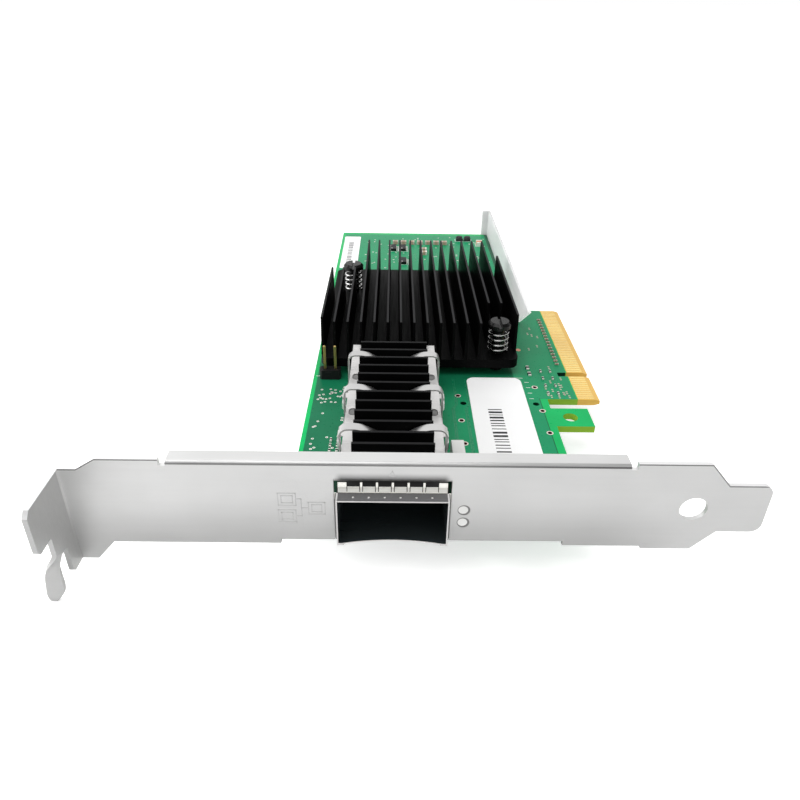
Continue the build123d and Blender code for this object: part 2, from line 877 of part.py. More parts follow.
# Spring clip: three sprung arms between the fins, joined by a rail down each side
arm_low = cage_height + rider_base
arm_crest = arm_low + clip_crest
clip_outer = clip_inner + clip_sheet
dip_middle = arm_low + clip_crest / 2
dip_points = [
    (-clip_crest_x, arm_crest),
    (-clip_crest_x / 2, dip_middle),
    (0, arm_low),
    (clip_crest_x / 2, dip_middle),
    (clip_crest_x, arm_crest),
]
dip_radius = (clip_crest_x**2 + clip_crest**2) / (4 * clip_crest)
with BuildPart() as heatsink_clip:
    for arm_y in clip_arm_spots:
        with BuildSketch(Plane.XZ.offset(-(arm_y - clip_arm_width / 2))):
            with BuildLine():
                crest_left = (-clip_crest_x, arm_crest)
                crest_right = (clip_crest_x, arm_crest)
                for here, there, turn in zip(dip_points, dip_points[1:], (1, -1, -1, 1)):
                    for rise in (0, clip_sheet):
                        RadiusArc(
                            (here[0], here[1] + rise), (there[0], there[1] + rise), turn * dip_radius
                        )
                Line(crest_right, (clip_inner - clip_corner_radius, arm_crest))
                RadiusArc(
                    (clip_inner - clip_corner_radius, arm_crest),
                    (clip_inner, arm_crest - clip_corner_radius),
                    clip_corner_radius,
                )
                Line((clip_inner, arm_crest - clip_corner_radius), (clip_inner, clip_rail_bottom))
                Line((clip_inner, clip_rail_bottom), (clip_outer, clip_rail_bottom))
                Line((clip_outer, clip_rail_bottom), (clip_outer, arm_crest - clip_corner_radius))
                RadiusArc(
                    (clip_outer, arm_crest - clip_corner_radius),
                    (clip_inner - clip_corner_radius, arm_crest + clip_sheet),
                    -(clip_corner_radius + clip_sheet),
                )
                Line(
                    (clip_inner - clip_corner_radius, arm_crest + clip_sheet),
                    (clip_crest_x, arm_crest + clip_sheet),
                )
                Line(
                    (-clip_crest_x, arm_crest + clip_sheet),
                    (clip_corner_radius - clip_inner, arm_crest + clip_sheet),
                )
                RadiusArc(
                    (clip_corner_radius - clip_inner, arm_crest + clip_sheet),
                    (-clip_outer, arm_crest - clip_corner_radius),
                    -(clip_corner_radius + clip_sheet),
                )
                Line((-clip_outer, arm_crest - clip_corner_radius), (-clip_outer, clip_rail_bottom))
                Line((-clip_outer, clip_rail_bottom), (-clip_inner, clip_rail_bottom))
                Line((-clip_inner, clip_rail_bottom), (-clip_inner, arm_crest - clip_corner_radius))
                RadiusArc(
                    (-clip_inner, arm_crest - clip_corner_radius),
                    (clip_corner_radius - clip_inner, arm_crest),
                    clip_corner_radius,
                )
                Line((clip_corner_radius - clip_inner, arm_crest), crest_left)
            make_face()
        extrude(amount=-clip_arm_width)
    # Side rails, bowed out where they pass under the cage's hooks
    with BuildSketch(Plane.XY.offset(clip_rail_bottom)):
        with BuildLine():
            rail_ends = (
                clip_arm_spots[0] - clip_arm_width / 2,
                clip_arm_spots[-1] + clip_arm_width / 2,
            )
            rail_points = [(clip_inner, rail_ends[0])]
            for bulge_y in bulge_spots:
                rail_points += [
                    (clip_inner, bulge_y - clip_bulge_length / 2 - clip_bulge_ramp),
                    (clip_inner + clip_bulge, bulge_y - clip_bulge_length / 2),
                    (clip_inner + clip_bulge, bulge_y + clip_bulge_length / 2),
                    (clip_inner, bulge_y + clip_bulge_length / 2 + clip_bulge_ramp),
                ]
            rail_points.append((clip_inner, rail_ends[1]))
            outer_points = [(x + clip_sheet, y) for x, y in reversed(rail_points)]
            Polyline(*rail_points, *outer_points, close=True)
        make_face()
        mirror(about=Plane.YZ)
    extrude(amount=clip_rail_height)
heatsink_clip.part.label = "heatsink_clip"
export_step(heatsink_clip.part, "parts/heatsink_clip.step")

# Controller package under the main heatsink: substrate, metal lid and thermal pad
with BuildPart() as chip_substrate_plate:
    with BuildSketch(Plane.XY):
        with Locations((chip_x, chip_y)):
            Rectangle(chip_size, chip_size)
    extrude(amount=chip_substrate)
chip_substrate_plate.part.label = "chip_substrate"
export_step(chip_substrate_plate.part, "parts/chip_substrate.step")

with BuildPart() as chip_lid:
    with BuildSketch(Plane.XY.offset(chip_substrate)):
        with Locations((chip_x, chip_y)):
            Rectangle(lid_size, lid_size)
    extrude(amount=lid_thickness)
    chamfer(chip_lid.edges().group_by(Axis.Z)[-1], lid_chamfer)
chip_lid.part.label = "chip_lid"
export_step(chip_lid.part, "parts/chip_lid.step")

with BuildPart() as thermal_pad:
    with BuildSketch(Plane.XY.offset(chip_substrate + lid_thickness)):
        with Locations((chip_x, chip_y)):
            Rectangle(pad_size, pad_size)
    extrude(amount=pad_thickness)
thermal_pad.part.label = "thermal_pad"
export_step(thermal_pad.part, "parts/thermal_pad.step")

# Main heatsink: straight fins on a plate, some cut short to clear the push pins
fin_pitch = (sink_width - sink_fin) / (sink_fin_count - 1)
with BuildPart() as main_heatsink:
    with BuildSketch(Plane.XY.offset(sink_bottom)) as sink_plate:
        with Locations(((sink_left + sink_right) / 2, (sink_front + sink_rear) / 2)):
            RectangleRounded(sink_width, sink_length, sink_corner_radius)
        with Locations(*pin_spots):
            Circle(pin_radius + pin_clearance, mode=Mode.SUBTRACT)
    extrude(amount=sink_base)
    with BuildSketch(Plane.XY.offset(sink_base_top)):
        for i in range(sink_fin_count):
            from_right = sink_fin_count - 1 - i
            start = sink_front
            end = sink_rear
            if i < rear_pocket_fin_count:
                end = sink_rear - pocket_rear_length
            if from_right < front_pocket_fin_count:
                start = sink_front + pocket_front_length
            if from_right == 0:
                start = sink_front + pocket_wall_setback
                end = sink_rear - outer_fin_setback
            if i == 0:
                start = sink_front + sink_corner_radius
            with Locations((sink_left + sink_fin / 2 + i * fin_pitch, (start + end) / 2)):
                Rectangle(sink_fin, end - start)
    extrude(amount=sink_height - sink_base, taper=sink_fin_taper)
main_heatsink.part.label = "main_heatsink"
export_step(main_heatsink.part, "parts/main_heatsink.step")

# Push pins: slotted mushroom heads, plain shafts and split barbed tips
pin_head_bottom = pin_head_top - pin_head_height
barb_top = -board_thickness - pin_clearance / 2
with BuildPart() as push_pins:
    for pin_x, pin_y in pin_spots:
        pin_plane = Plane(origin=(pin_x, pin_y, 0), x_dir=(1, 0, 0), z_dir=(0, -1, 0))
        with BuildSketch(pin_plane):
            with BuildLine():
                Polyline(
                    (0, barb_top - pin_barb_length),
                    (pin_radius / 2, barb_top - pin_barb_length),
                    (pin_barb_radius, barb_top),
                    (pin_radius, barb_top),
                    (pin_radius, pin_head_bottom),
                    (pin_head_radius, pin_head_bottom),
                    (pin_head_radius, pin_head_top - pin_head_chamfer),
                    (pin_head_radius - pin_head_chamfer, pin_head_top),
                    (0, pin_head_top),
                    close=True,
                )
            make_face()
        revolve(axis=Axis((pin_x, pin_y, 0), (0, 0, 1)))
    with BuildSketch(Plane.XY.offset(pin_head_top)):
        with Locations(*pin_spots):
            Rectangle(pin_slot_width, 2 * pin_head_radius)
    extrude(amount=-pin_slot_depth, mode=Mode.SUBTRACT)
    with BuildSketch(Plane.XY.offset(barb_top - pin_barb_length)):
        with Locations(*pin_spots):
            Rectangle(pin_split_width, 2 * pin_barb_radius)
    extrude(amount=pin_barb_length + board_thickness / 2, mode=Mode.SUBTRACT)
push_pins.part.label = "push_pins"
export_step(push_pins.part, "parts/push_pins.step")

# Coil springs between the heatsink's plate and the push pin heads
spring_bottom = sink_base_top + spring_wire / 2 + spring_end_gap
spring_height = pin_head_bottom - spring_wire / 2 - spring_end_gap - spring_bottom
spring_steps = round(spring_turn_count * spring_turn_step_count)
with BuildPart() as push_pin_springs:
    for pin_x, pin_y in pin_spots:
        with BuildLine() as coil:
            Polyline(
                *[
                    (
                        pin_x + spring_radius * math.cos(math.tau * i / spring_turn_step_count),
                        pin_y + spring_radius * math.sin(math.tau * i / spring_turn_step_count),
                        spring_bottom + spring_height * i / spring_steps,
                    )
                    for i in range(spring_steps + 1)
                ]
            )
        with BuildSketch(Plane(origin=coil.line @ 0, z_dir=coil.line % 0)) as wire_section:
            RegularPolygon(spring_wire / 2, spring_wire_side_count)
        sweep(sections=wire_section.sketch, path=coil.line, transition=Transition.RIGHT)
push_pin_springs.part.label = "push_pin_springs"
export_step(push_pin_springs.part, "parts/push_pin_springs.step")

# Side plate: an upright sheet with a raked front, a rear return and feet in the board
with BuildPart() as side_plate:
    with BuildSketch(Plane.YZ.offset(plate_inner)):
        with BuildLine():
            Polyline(
                (plate_foot_start, 0),
                (plate_top_start, plate_height),
                (board_rear, plate_height),
                (board_rear, 0),
                close=True,
            )
        make_face()
    extrude(amount=plate_sheet)
    with BuildSketch(Plane.XY):
        with Locations((board_right - plate_return / 2, board_rear - plate_sheet / 2)):
            Rectangle(plate_return, plate_sheet)
    extrude(amount=plate_height)
    rear_corner = side_plate.edges().filter_by(Axis.Z).filter_by_position(
        Axis.X, board_right, board_right
    )
    fillet(rear_corner.filter_by_position(Axis.Y, board_rear, board_rear), plate_bend_radius)
    with BuildSketch(Plane.XY):
        with Locations(*[(plate_inner + plate_sheet / 2, y) for y in plate_foot_spots]):
            Rectangle(plate_sheet, plate_foot_width)
    extrude(amount=-plate_foot_depth)
side_plate.part.label = "side_plate"
export_step(side_plate.part, "parts/side_plate.step")

# Two-pin header
with BuildPart() as header_body:
    with BuildSketch(Plane.XY) as header_outline:
        with Locations(*header_spots):
            Rectangle(header_pitch, header_depth)
        chamfer(header_outline.vertices().group_by(Axis.X)[0], header_chamfer)
        chamfer(header_outline.vertices().group_by(Axis.X)[-1], header_chamfer)
        with Locations(*header_spots):
            Rectangle(header_pin, header_pin, mode=Mode.SUBTRACT)
    extrude(amount=header_height)
header_body.part.label = "header_body"
export_step(header_body.part, "parts/header_body.step")

with BuildPart() as header_pins:
    with BuildSketch(Plane.XY.offset(-board_thickness - header_pin_tail)):
        with Locations(*header_spots):
            Rectangle(header_pin, header_pin)
    extrude(amount=board_thickness + header_pin_tail + header_pin_top)
    chamfer(header_pins.edges().group_by(Axis.Z)[-1], 0.25 * header_pin)
header_pins.part.label = "header_pins"
export_step(header_pins.part, "parts/header_pins.step")

# Light pipe: two round ends in the bracket's windows, fed by a stepped leg over the lamps
with BuildPart() as light_pipe:
    with BuildSketch(Plane.YZ.offset(pipe_center - pipe_width / 2)):
        with BuildLine():
            Polyline(
                (pipe_front, pipe_bottom),
                (pipe_leg_start, pipe_bottom),
                (pipe_leg_start, lamp_height + lamp_gap),
                (pipe_rear, lamp_height + lamp_gap),
                (pipe_rear, pipe_top - pipe_step),
                (pipe_rear - pipe_step, pipe_top),
                (pipe_front, pipe_top),
                close=True,
            )
        make_face()
    extrude(amount=pipe_width)
    with BuildSketch(Plane.XZ.offset(-pipe_front)):
        with Locations(*[(window_x, z) for z in window_heights]):
            Circle(window_radius - pipe_pin_clearance)
    extrude(amount=pipe_front - pipe_pin_clearance)
    # Peg that stands the pipe on the board in front of the lamps
    with BuildSketch(Plane.XY):
        with Locations((pipe_center, pipe_leg_start - pipe_step)):
            Rectangle(pipe_width, pipe_step)
    extrude(amount=pipe_bottom)
light_pipe.part.label = "light_pipe"
export_step(light_pipe.part, "parts/light_pipe.step")

lamp_middle = (pipe_leg_start + pipe_rear) / 2
with BuildPart() as status_lamps:
    with BuildSketch(Plane.XY):
        with Locations((pipe_center, lamp_middle)):
            with GridLocations(0, lamp_spacing, 1, 2):
                Rectangle(lamp_length, lamp_width)
    extrude(amount=lamp_height)
status_lamps.part.label = "status_lamps"
export_step(status_lamps.part, "parts/status_lamps.step")

# Paper labels stuck to the board
with BuildPart() as board_label:
    with BuildSketch(Plane.XY):
        with Locations((label_left + label_width / 2, label_front + label_length / 2)):
            RectangleRounded(label_width, label_length, label_corner_radius)
    extrude(amount=label_thickness)
board_label.part.label = "board_label"
export_step(board_label.part, "parts/board_label.step")

with BuildPart() as rear_label:
    with BuildSketch(Plane.XY):
        with Locations((tag_left + tag_width / 2, tag_front + tag_length / 2)):
            RectangleRounded(tag_width, tag_length, tag_corner_radius)
    extrude(amount=label_thickness)
rear_label.part.label = "rear_label"
export_step(rear_label.part, "parts/rear_label.step")

# Small parts soldered to the component face
with BuildPart() as bulk_capacitors:
    with BuildSketch(Plane.XY):
        with Locations(*[(x, cap_row_y) for x in centered(cap_row_x, cap_row_pitch, cap_row_count)]):
            Rectangle(cap_length, cap_width)
    extrude(amount=cap_height)
bulk_capacitors.part.label = "bulk_capacitors"
export_step(bulk_capacitors.part, "parts/bulk_capacitors.step")

with BuildPart() as filter_capacitors:
    with BuildSketch(Plane.XY):
        with Locations((filter_x, filter_y)):
            with GridLocations(0, filter_pitch, 1, filter_count):
                Rectangle(cap_length, cap_width)
    extrude(amount=cap_height)
filter_capacitors.part.label = "filter_capacitors"
export_step(filter_capacitors.part, "parts/filter_capacitors.step")

with BuildPart() as regulator_chips:
    with BuildSketch(Plane.XY):
        with Locations(
            (regulator_x, regulator_y),
            (regulator_x + regulator_pitch, regulator_y),
            (regulator_x + regulator_pitch, regulator_y - regulator_row_pitch),
        ):
            Rectangle(regulator_width, regulator_length)
    extrude(amount=regulator_height)
regulator_chips.part.label = "regulator_chips"
export_step(regulator_chips.part, "parts/regulator_chips.step")

with BuildPart() as power_inductors:
    with BuildSketch(Plane.XY):
        inductor_first = board_right - inductor_from_right
        with Locations(
            *[(x, inductor_y) for x in centered(inductor_first, inductor_pitch, inductor_count)]
        ):
            Rectangle(inductor_size, inductor_size)
    extrude(amount=inductor_height)
    chamfer(power_inductors.edges().filter_by(Axis.Z), 0.12 * inductor_size)
power_inductors.part.label = "power_inductors"
export_step(power_inductors.part, "parts/power_inductors.step")

with BuildPart() as tantalum_capacitor:
    with BuildSketch(Plane.XY):
        with Locations((board_right - tantalum_from_right, tantalum_y)):
            Rectangle(tantalum_width, tantalum_length)
    extrude(amount=tantalum_height)
tantalum_capacitor.part.label = "tantalum_capacitor"
export_step(tantalum_capacitor.part, "parts/tantalum_capacitor.step")

with BuildPart() as chip_resistors:
    with BuildSketch(Plane.XY):
        resistor_x = board_right - resistor_from_right
        with Locations(*[(resistor_x, y) for y in centered(resistor_y, resistor_pitch, resistor_count)]):
            Rectangle(resistor_width, resistor_length)
    extrude(amount=resistor_height)
chip_resistors.part.label = "chip_resistors"
export_step(chip_resistors.part, "parts/chip_resistors.step")

with BuildPart() as signal_capacitors:
    with BuildSketch(Plane.XY):
        with Locations(
            *[
                (x, y)
                for x in centered(left_cap_x, left_cap_pitch_x, left_cap_column_count)
                for y in centered(left_cap_y, left_cap_pitch_y, left_cap_row_count)
            ],
            *[
                (x, y)
                for x in centered(board_right + neck_cap_inset, neck_cap_pitch_x, neck_cap_column_count)
                for y in centered(neck_cap_y, neck_cap_pitch_y, neck_cap_row_count)
            ],
        ):
            Rectangle(chip_cap_width, chip_cap_length)
    extrude(amount=chip_cap_height)
signal_capacitors.part.label = "signal_capacitors"
export_step(signal_capacitors.part, "parts/signal_capacitors.step")

with BuildPart() as coupling_capacitors:
    with BuildSketch(Plane.XY):
        with Locations(
            *[
                (connector_edge - coupling_from_edge, y)
                for y in centered(coupling_first, coupling_pitch, coupling_count)
            ]
        ):
            Rectangle(chip_cap_length, chip_cap_width)
    extrude(amount=chip_cap_height)
coupling_capacitors.part.label = "coupling_capacitors"
export_step(coupling_capacitors.part, "parts/coupling_capacitors.step")

with BuildPart() as flash_chip:
    with BuildSketch(Plane.XY):
        with Locations((flash_x, flash_y)):
            Rectangle(flash_width, flash_length)
    extrude(amount=flash_height)
    chamfer(flash_chip.edges().group_by(Axis.Z)[-1], 0.15 * flash_height)
    with BuildSketch(Plane.XY):
        with Locations((flash_x, flash_y)):
            with GridLocations(flash_width + flash_lead_reach, flash_lead_pitch, 2, flash_lead_count):
                Rectangle(flash_lead_reach, flash_lead_width)
    extrude(amount=flash_lead_thickness)
flash_chip.part.label = "flash_chip"
export_step(flash_chip.part, "parts/flash_chip.step")

with BuildPart() as crystal:
    with BuildSketch(Plane.XY):
        crystal_y = chip_y + (chip_size + crystal_length) / 2 + crystal_gap
        with Locations((chip_x + crystal_offset, crystal_y)):
            RectangleRounded(crystal_width, crystal_length, 0.1 * crystal_width)
    extrude(amount=crystal_height)
crystal.part.label = "crystal"
export_step(crystal.part, "parts/crystal.step")

# Decoupling capacitors on the solder face, under the controller
with BuildPart() as decoupling_capacitors:
    with BuildSketch(Plane.XY.offset(-board_thickness)):
        with Locations((chip_x, chip_y)):
            with GridLocations(
                under_cap_pitch, under_cap_pitch, under_cap_column_count, under_cap_row_count
            ):
                Rectangle(chip_cap_width, chip_cap_length)
    extrude(amount=-chip_cap_height)
decoupling_capacitors.part.label = "decoupling_capacitors"
export_step(decoupling_capacitors.part, "parts/decoupling_capacitors.step")
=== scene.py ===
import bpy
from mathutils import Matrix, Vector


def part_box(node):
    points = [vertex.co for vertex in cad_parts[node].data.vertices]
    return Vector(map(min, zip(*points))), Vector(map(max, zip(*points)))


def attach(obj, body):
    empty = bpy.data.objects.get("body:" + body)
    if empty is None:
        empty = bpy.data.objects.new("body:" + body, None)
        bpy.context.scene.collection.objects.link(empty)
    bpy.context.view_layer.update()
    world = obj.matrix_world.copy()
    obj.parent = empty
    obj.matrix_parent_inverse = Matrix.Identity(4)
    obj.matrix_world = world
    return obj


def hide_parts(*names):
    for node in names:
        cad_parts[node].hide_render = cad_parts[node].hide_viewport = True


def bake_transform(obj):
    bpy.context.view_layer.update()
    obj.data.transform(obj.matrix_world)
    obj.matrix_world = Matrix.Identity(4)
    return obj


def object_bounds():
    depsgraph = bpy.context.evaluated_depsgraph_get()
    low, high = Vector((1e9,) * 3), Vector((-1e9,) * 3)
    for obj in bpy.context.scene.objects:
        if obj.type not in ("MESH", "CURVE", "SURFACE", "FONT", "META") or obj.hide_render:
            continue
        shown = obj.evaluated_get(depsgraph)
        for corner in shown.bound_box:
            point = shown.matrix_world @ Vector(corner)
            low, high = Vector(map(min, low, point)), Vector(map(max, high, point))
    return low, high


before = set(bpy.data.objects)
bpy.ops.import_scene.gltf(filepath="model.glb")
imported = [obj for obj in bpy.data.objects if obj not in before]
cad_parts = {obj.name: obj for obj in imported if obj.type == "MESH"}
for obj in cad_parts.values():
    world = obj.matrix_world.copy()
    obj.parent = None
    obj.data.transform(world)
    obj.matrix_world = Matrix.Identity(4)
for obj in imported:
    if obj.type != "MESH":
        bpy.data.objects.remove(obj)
cad_box = [list(corner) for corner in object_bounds()]

import math
import random

import bmesh
import bpy
from bpy.props import FloatProperty, FloatVectorProperty, IntProperty, PointerProperty
from mathutils import Matrix, Vector

bl_info = {
    "name": "Network Card Looks",
    "version": (1, 0, 0),
    "blender": (4, 5, 0),
    "location": "3D View > Sidebar > Network Card",
    "description": "Finishes, small parts and studio for a slot-in network card",
    "category": "Object",
}

MM = 0.001
WHITE = (1.0, 1.0, 1.0)

# Along the bracket, measured back from the tip of its end tab: the strip folded along its top, and
# the slopes by which its top edge drops to the flange and to the tab
STRIP_START = 101.48 * MM
STRIP_END = 24.78 * MM
FLANGE_SLOPE = (116.28 * MM, 112.88 * MM)
FLANGE_DROP = 2.1 * MM
TAB_SLOPE = (7.63 * MM, 11.45 * MM)
TAB_DROP = 4.32 * MM

# A port cage's press-in pins, and the fingers of the gasket on its roof
PIN_ROWS = (30.0 * MM, 39.1 * MM, 49.9 * MM)
PIN_STAGGER = 4.4 * MM
PIN_ASIDE = 9.475 * MM
PORT_SPACING = 24.8 * MM
GASKET_ROOF = 9.75 * MM
FINGER_PITCH = 2.67 * MM
FINGER_COUNT = 6

# Lamp windows in the bracket
WINDOW_X = 12.2 * MM
WINDOW_HEIGHTS = (4.15 * MM, 6.85 * MM)

# Lines of rolled sheet, long along the bracket
SHEET_LINES = (60.0, 4000.0, 900.0)


def length(name, description, default):
    """A length in metres that the user may change."""
    return FloatProperty(
        name=name, description=description, default=default, min=0.0, unit="LENGTH", precision=5
    )


def share(name, description, default):
    """A plain share between nothing and all."""
    return FloatProperty(
        name=name, description=description, default=default, min=0.0, max=1.0, subtype="FACTOR"
    )


def colour(name, description, default):
    """A linear colour that the user may change."""
    return FloatVectorProperty(
        name=name, description=description, default=default, size=3, min=0.0, max=1.0, subtype="COLOR"
    )


def angle(name, description, degrees):
    """An angle of the camera."""
    return FloatProperty(
        name=name, description=description, default=math.radians(degrees), subtype="ANGLE"
    )


class CardFinish(bpy.types.PropertyGroup):
    """Colours of the card's pieces"""

    mask: colour("Solder mask", "Green resist over bare laminate", (0.002, 0.44, 0.115))
    pour: colour("Copper pour", "Green resist over the copper pour", (0.007, 0.155, 0.07))
    plane: colour("Front plane", "Green resist over the plane beside the port", (0.008, 0.3, 0.125))
    laminate: colour("Laminate", "Cut edges of the board", (0.3, 0.54, 0.05))
    finger_ground: colour("Connector ground", "Laminate between the gold contacts", (0.86, 0.53, 0.12))
    gold: colour("Gold", "Plated contacts and pins", (0.98, 0.72, 0.28))
    bracket: colour("Bracket", "Plated bracket sheet", (0.72, 0.72, 0.715))
    # Painted shade on the bracket: over the roll above the port, along the folded top strip and in a thin
    # line under the top edges
    fold_shade: colour("Fold shade", "Folds and burrs of the bracket", (0.05, 0.05, 0.05))
    # Painted highlight on the bracket's upward-facing top edges
    edge_highlight: colour("Edge highlight", "Bright top edges of the bracket", (0.88, 0.88, 0.88))
    cage: colour("Cage", "Plated cage sheet", (0.75, 0.74, 0.73))
    # Painted shade on the cage's inner faces
    cage_inner_shade: colour("Cage inner shade", "Inner faces of the cage", (0.12, 0.15, 0.16))
    # Painted shadow of the bracket's strip on the cage's roof
    roof_shadow: colour("Cage roof shadow", "Cage roof under the bracket's strip", (0.012, 0.012, 0.012))
    gasket: colour("Gasket", "Spring-finger gasket", (0.97, 0.96, 0.9))
    gasket_flat: colour("Gasket band", "Dull band in front of the fingers", (0.13, 0.13, 0.135))
    spring: colour("Spring steel", "Clip, coil springs and screws", (0.64, 0.635, 0.63))
    anodised: colour("Black anodising", "Both heatsinks", (0.0022, 0.0022, 0.0023))
    black: colour("Black moulding", "Connector, header and chips", (0.008, 0.008, 0.009))
    pin: colour("Push pin", "Moulded push pins", (0.006, 0.006, 0.006))
    plate: colour("Side plate", "Light-grey coat", (0.52, 0.52, 0.525))
    clear: colour("Light pipe", "Clear moulding", (0.74, 0.74, 0.72))
    paper: colour("Label", "Label paper", (0.99, 0.99, 0.99))
    ink: colour("Ink", "Bars on the labels", (0.02, 0.02, 0.022))
    legend: colour("Board print", "White print on the board", (0.82, 0.84, 0.82))
    tin: colour("Tin", "Soldered ends, pads and joints", (0.84, 0.82, 0.77))
    ring: colour("Hole ring", "Plated rings round the empty holes", (0.86, 0.74, 0.68))
    copper: colour("Copper barrel", "Walls of the empty holes", (0.09, 0.006, 0.006))
    bare: colour("Bare copper", "Copper dot without mask", (0.86, 0.36, 0.22))
    pad: colour("Bare pads", "Unfitted pads and dull chip ends", (0.56, 0.47, 0.4))
    ceramic: colour("Ceramic", "Bodies of the ceramic capacitors", (0.42, 0.3, 0.22))
    ferrite: colour("Ferrite", "Bodies of the inductors", (0.03, 0.03, 0.032))
    tantalum: colour("Tantalum case", "Body of the tantalum capacitor", (0.62, 0.25, 0.14))
    silicone: colour("Thermal pad", "Filled silicone", (0.4, 0.42, 0.45))
    substrate: colour("Chip laminate", "Controller's substrate", (0.03, 0.12, 0.05))


class CardDetail(bpy.types.PropertyGroup):
    """Sizes of the pieces that dress the card"""

    pen: length("Pen", "Width of a printed or stamped line", 0.16 * MM)
    print_height: length("Print height", "Height of print above its surface", 0.02 * MM)
    trace_height: length("Trace height", "Height of traces above the board", 0.025 * MM)
    trace_width: length("Trace width", "Width of a signal trace", 0.16 * MM)
    lane_width: length("Lane width", "Width of a trace from an edge contact", 0.3 * MM)
    via_outer: length("Via radius", "Outer radius of a via's pad", 0.3 * MM)
    via_bore: length("Via bore", "Bore radius of a via", 0.13 * MM)
    hole_radius: length("Empty hole", "Radius of a hole for a press-in pin", 0.55 * MM)
    ring_margin: length("Ring margin", "Width of the plated ring round an empty hole", 0.2 * MM)
    barrel_wall: length("Barrel wall", "Wall of the plated barrel in an empty hole", 0.04 * MM)
    terminal_share: share("Terminal share", "Share of a chip part that its soldered end covers", 0.24)
    part_bevel: length("Part bevel", "Edge rounding of small parts", 0.06 * MM)
    joint_height: length("Solder joint", "Height of a solder cone on the solder side", 0.7 * MM)
    coil_steps: IntProperty(
        name="Coil steps", description="Steps in each turn of a coil spring", default=32, min=12
    )
    wire_sides: IntProperty(
        name="Wire sides", description="Sides of a coil spring's wire", default=12, min=6
    )
    coil_turns: FloatProperty(
        name="Coil turns", description="Turns of a coil spring", default=4.5, min=1.0
    )
    wire: length("Spring wire", "Thickness of the coil springs' wire", 0.55 * MM)
    clip_rail: length("Clip rail", "Height of the clip's rails, which stay hooked", 1.6 * MM)
    clip_dip: length("Clip dip", "Drop of the clip's arms onto the heatsink, sheet included", 2.6 * MM)


class CardStage(bpy.types.PropertyGroup):
    """Camera and studio"""

    lens: FloatProperty(name="Lens", description="Focal length on a 36 mm sensor", default=31.534)
    place: FloatVectorProperty(
        name="Camera place",
        description="Where the camera stands",
        default=(-0.303 * MM, -92.767 * MM, 84.584 * MM),
        subtype="TRANSLATION",
        precision=5,
    )
    pitch: angle("Pitch", "Look down", 31.057)
    yaw: angle("Yaw", "Turn to the right", 0.768)
    roll: angle("Roll", "Tilt of the frame", 1.011)
    sky: FloatProperty(name="Sky", description="Light of the surroundings", default=0.55, min=0.0)
    key: FloatProperty(name="Key", description="Power of the overhead lamp", default=1.3, min=0.0)
    fill: FloatProperty(name="Fill", description="Power of the front lamp", default=0.3, min=0.0)
    side: FloatProperty(name="Side", description="Power of the left-hand lamp", default=1.6, min=0.0)
    dim: share("Dim", "Light of the dim area over the camera, as the sheet metal mirrors it", 0.1)
    floor: share("Floor", "Light of the floor, as the camera sees it", 0.58)
    floor_mirrored: share("Mirrored floor", "Light of the floor, as metal mirrors it", 0.02)


def shader_group(name, inputs, outputs):
    """A new shader node group with named sockets, and its two end nodes."""
    tree = bpy.data.node_groups.new(name, "ShaderNodeTree")
    for socket, kind, default in inputs:
        made = tree.interface.new_socket(name=socket, in_out="INPUT", socket_type=kind)
        if default is not None:
            made.default_value = default
    for socket, kind in outputs:
        tree.interface.new_socket(name=socket, in_out="OUTPUT", socket_type=kind)
    return tree, tree.nodes.new("NodeGroupInput"), tree.nodes.new("NodeGroupOutput")


def grain_group(name):
    """Fine even grain, with slow cloudiness from handling."""
    tree, start, end = shader_group(
        name,
        [("Vector", "NodeSocketVector", None), ("Scale", "NodeSocketFloat", 3000.0)],
        [("Grain", "NodeSocketFloat"), ("Cloud", "NodeSocketFloat")],
    )
    fine = tree.nodes.new("ShaderNodeTexNoise")
    fine.inputs["Detail"].default_value = 3.0
    slow = tree.nodes.new("ShaderNodeTexNoise")
    slow.inputs["Scale"].default_value = 90.0
    tree.links.new(start.outputs["Vector"], fine.inputs["Vector"])
    tree.links.new(start.outputs["Scale"], fine.inputs["Scale"])
    tree.links.new(start.outputs["Vector"], slow.inputs["Vector"])
    tree.links.new(fine.outputs["Fac"], end.inputs["Grain"])
    tree.links.new(slow.outputs["Fac"], end.inputs["Cloud"])
    return tree


def drawn_group(name):
    """Long fine lines of rolled sheet or an extrusion, along one axis."""
    tree, start, end = shader_group(
        name,
        [
            ("Vector", "NodeSocketVector", None),
            ("Stretch", "NodeSocketVector", (60.0, 4000.0, 4000.0)),
        ],
        [("Grain", "NodeSocketFloat"), ("Cloud", "NodeSocketFloat")],
    )
    scale = tree.nodes.new("ShaderNodeVectorMath")
    scale.operation = "MULTIPLY"
    lines = tree.nodes.new("ShaderNodeTexNoise")
    lines.inputs["Scale"].default_value = 1.0
    lines.inputs["Detail"].default_value = 4.0
    slow = tree.nodes.new("ShaderNodeTexNoise")
    slow.inputs["Scale"].default_value = 70.0
    tree.links.new(start.outputs["Vector"], scale.inputs[0])
    tree.links.new(start.outputs["Stretch"], scale.inputs[1])
    tree.links.new(scale.outputs[0], lines.inputs["Vector"])
    tree.links.new(start.outputs["Vector"], slow.inputs["Vector"])
    tree.links.new(lines.outputs["Fac"], end.inputs["Grain"])
    tree.links.new(slow.outputs["Fac"], end.inputs["Cloud"])
    return tree


def math_node(tree, operation, first, second):
    """A math node whose inputs are sockets or numbers."""
    node = tree.nodes.new("ShaderNodeMath")
    node.operation = operation
    for socket, value in zip(node.inputs, (first, second)):
        if isinstance(value, (int, float)):
            socket.default_value = value
        else:
            tree.links.new(value, socket)
    return node.outputs[0]


def chained(tree, operation, values):
    """One operation over all the values, from the first to the last."""
    result = values[0]
    for value in values[1:]:
        result = math_node(tree, operation, result, value)
    return result


def product(tree, *values):
    """All the values multiplied together."""
    return chained(tree, "MULTIPLY", values)


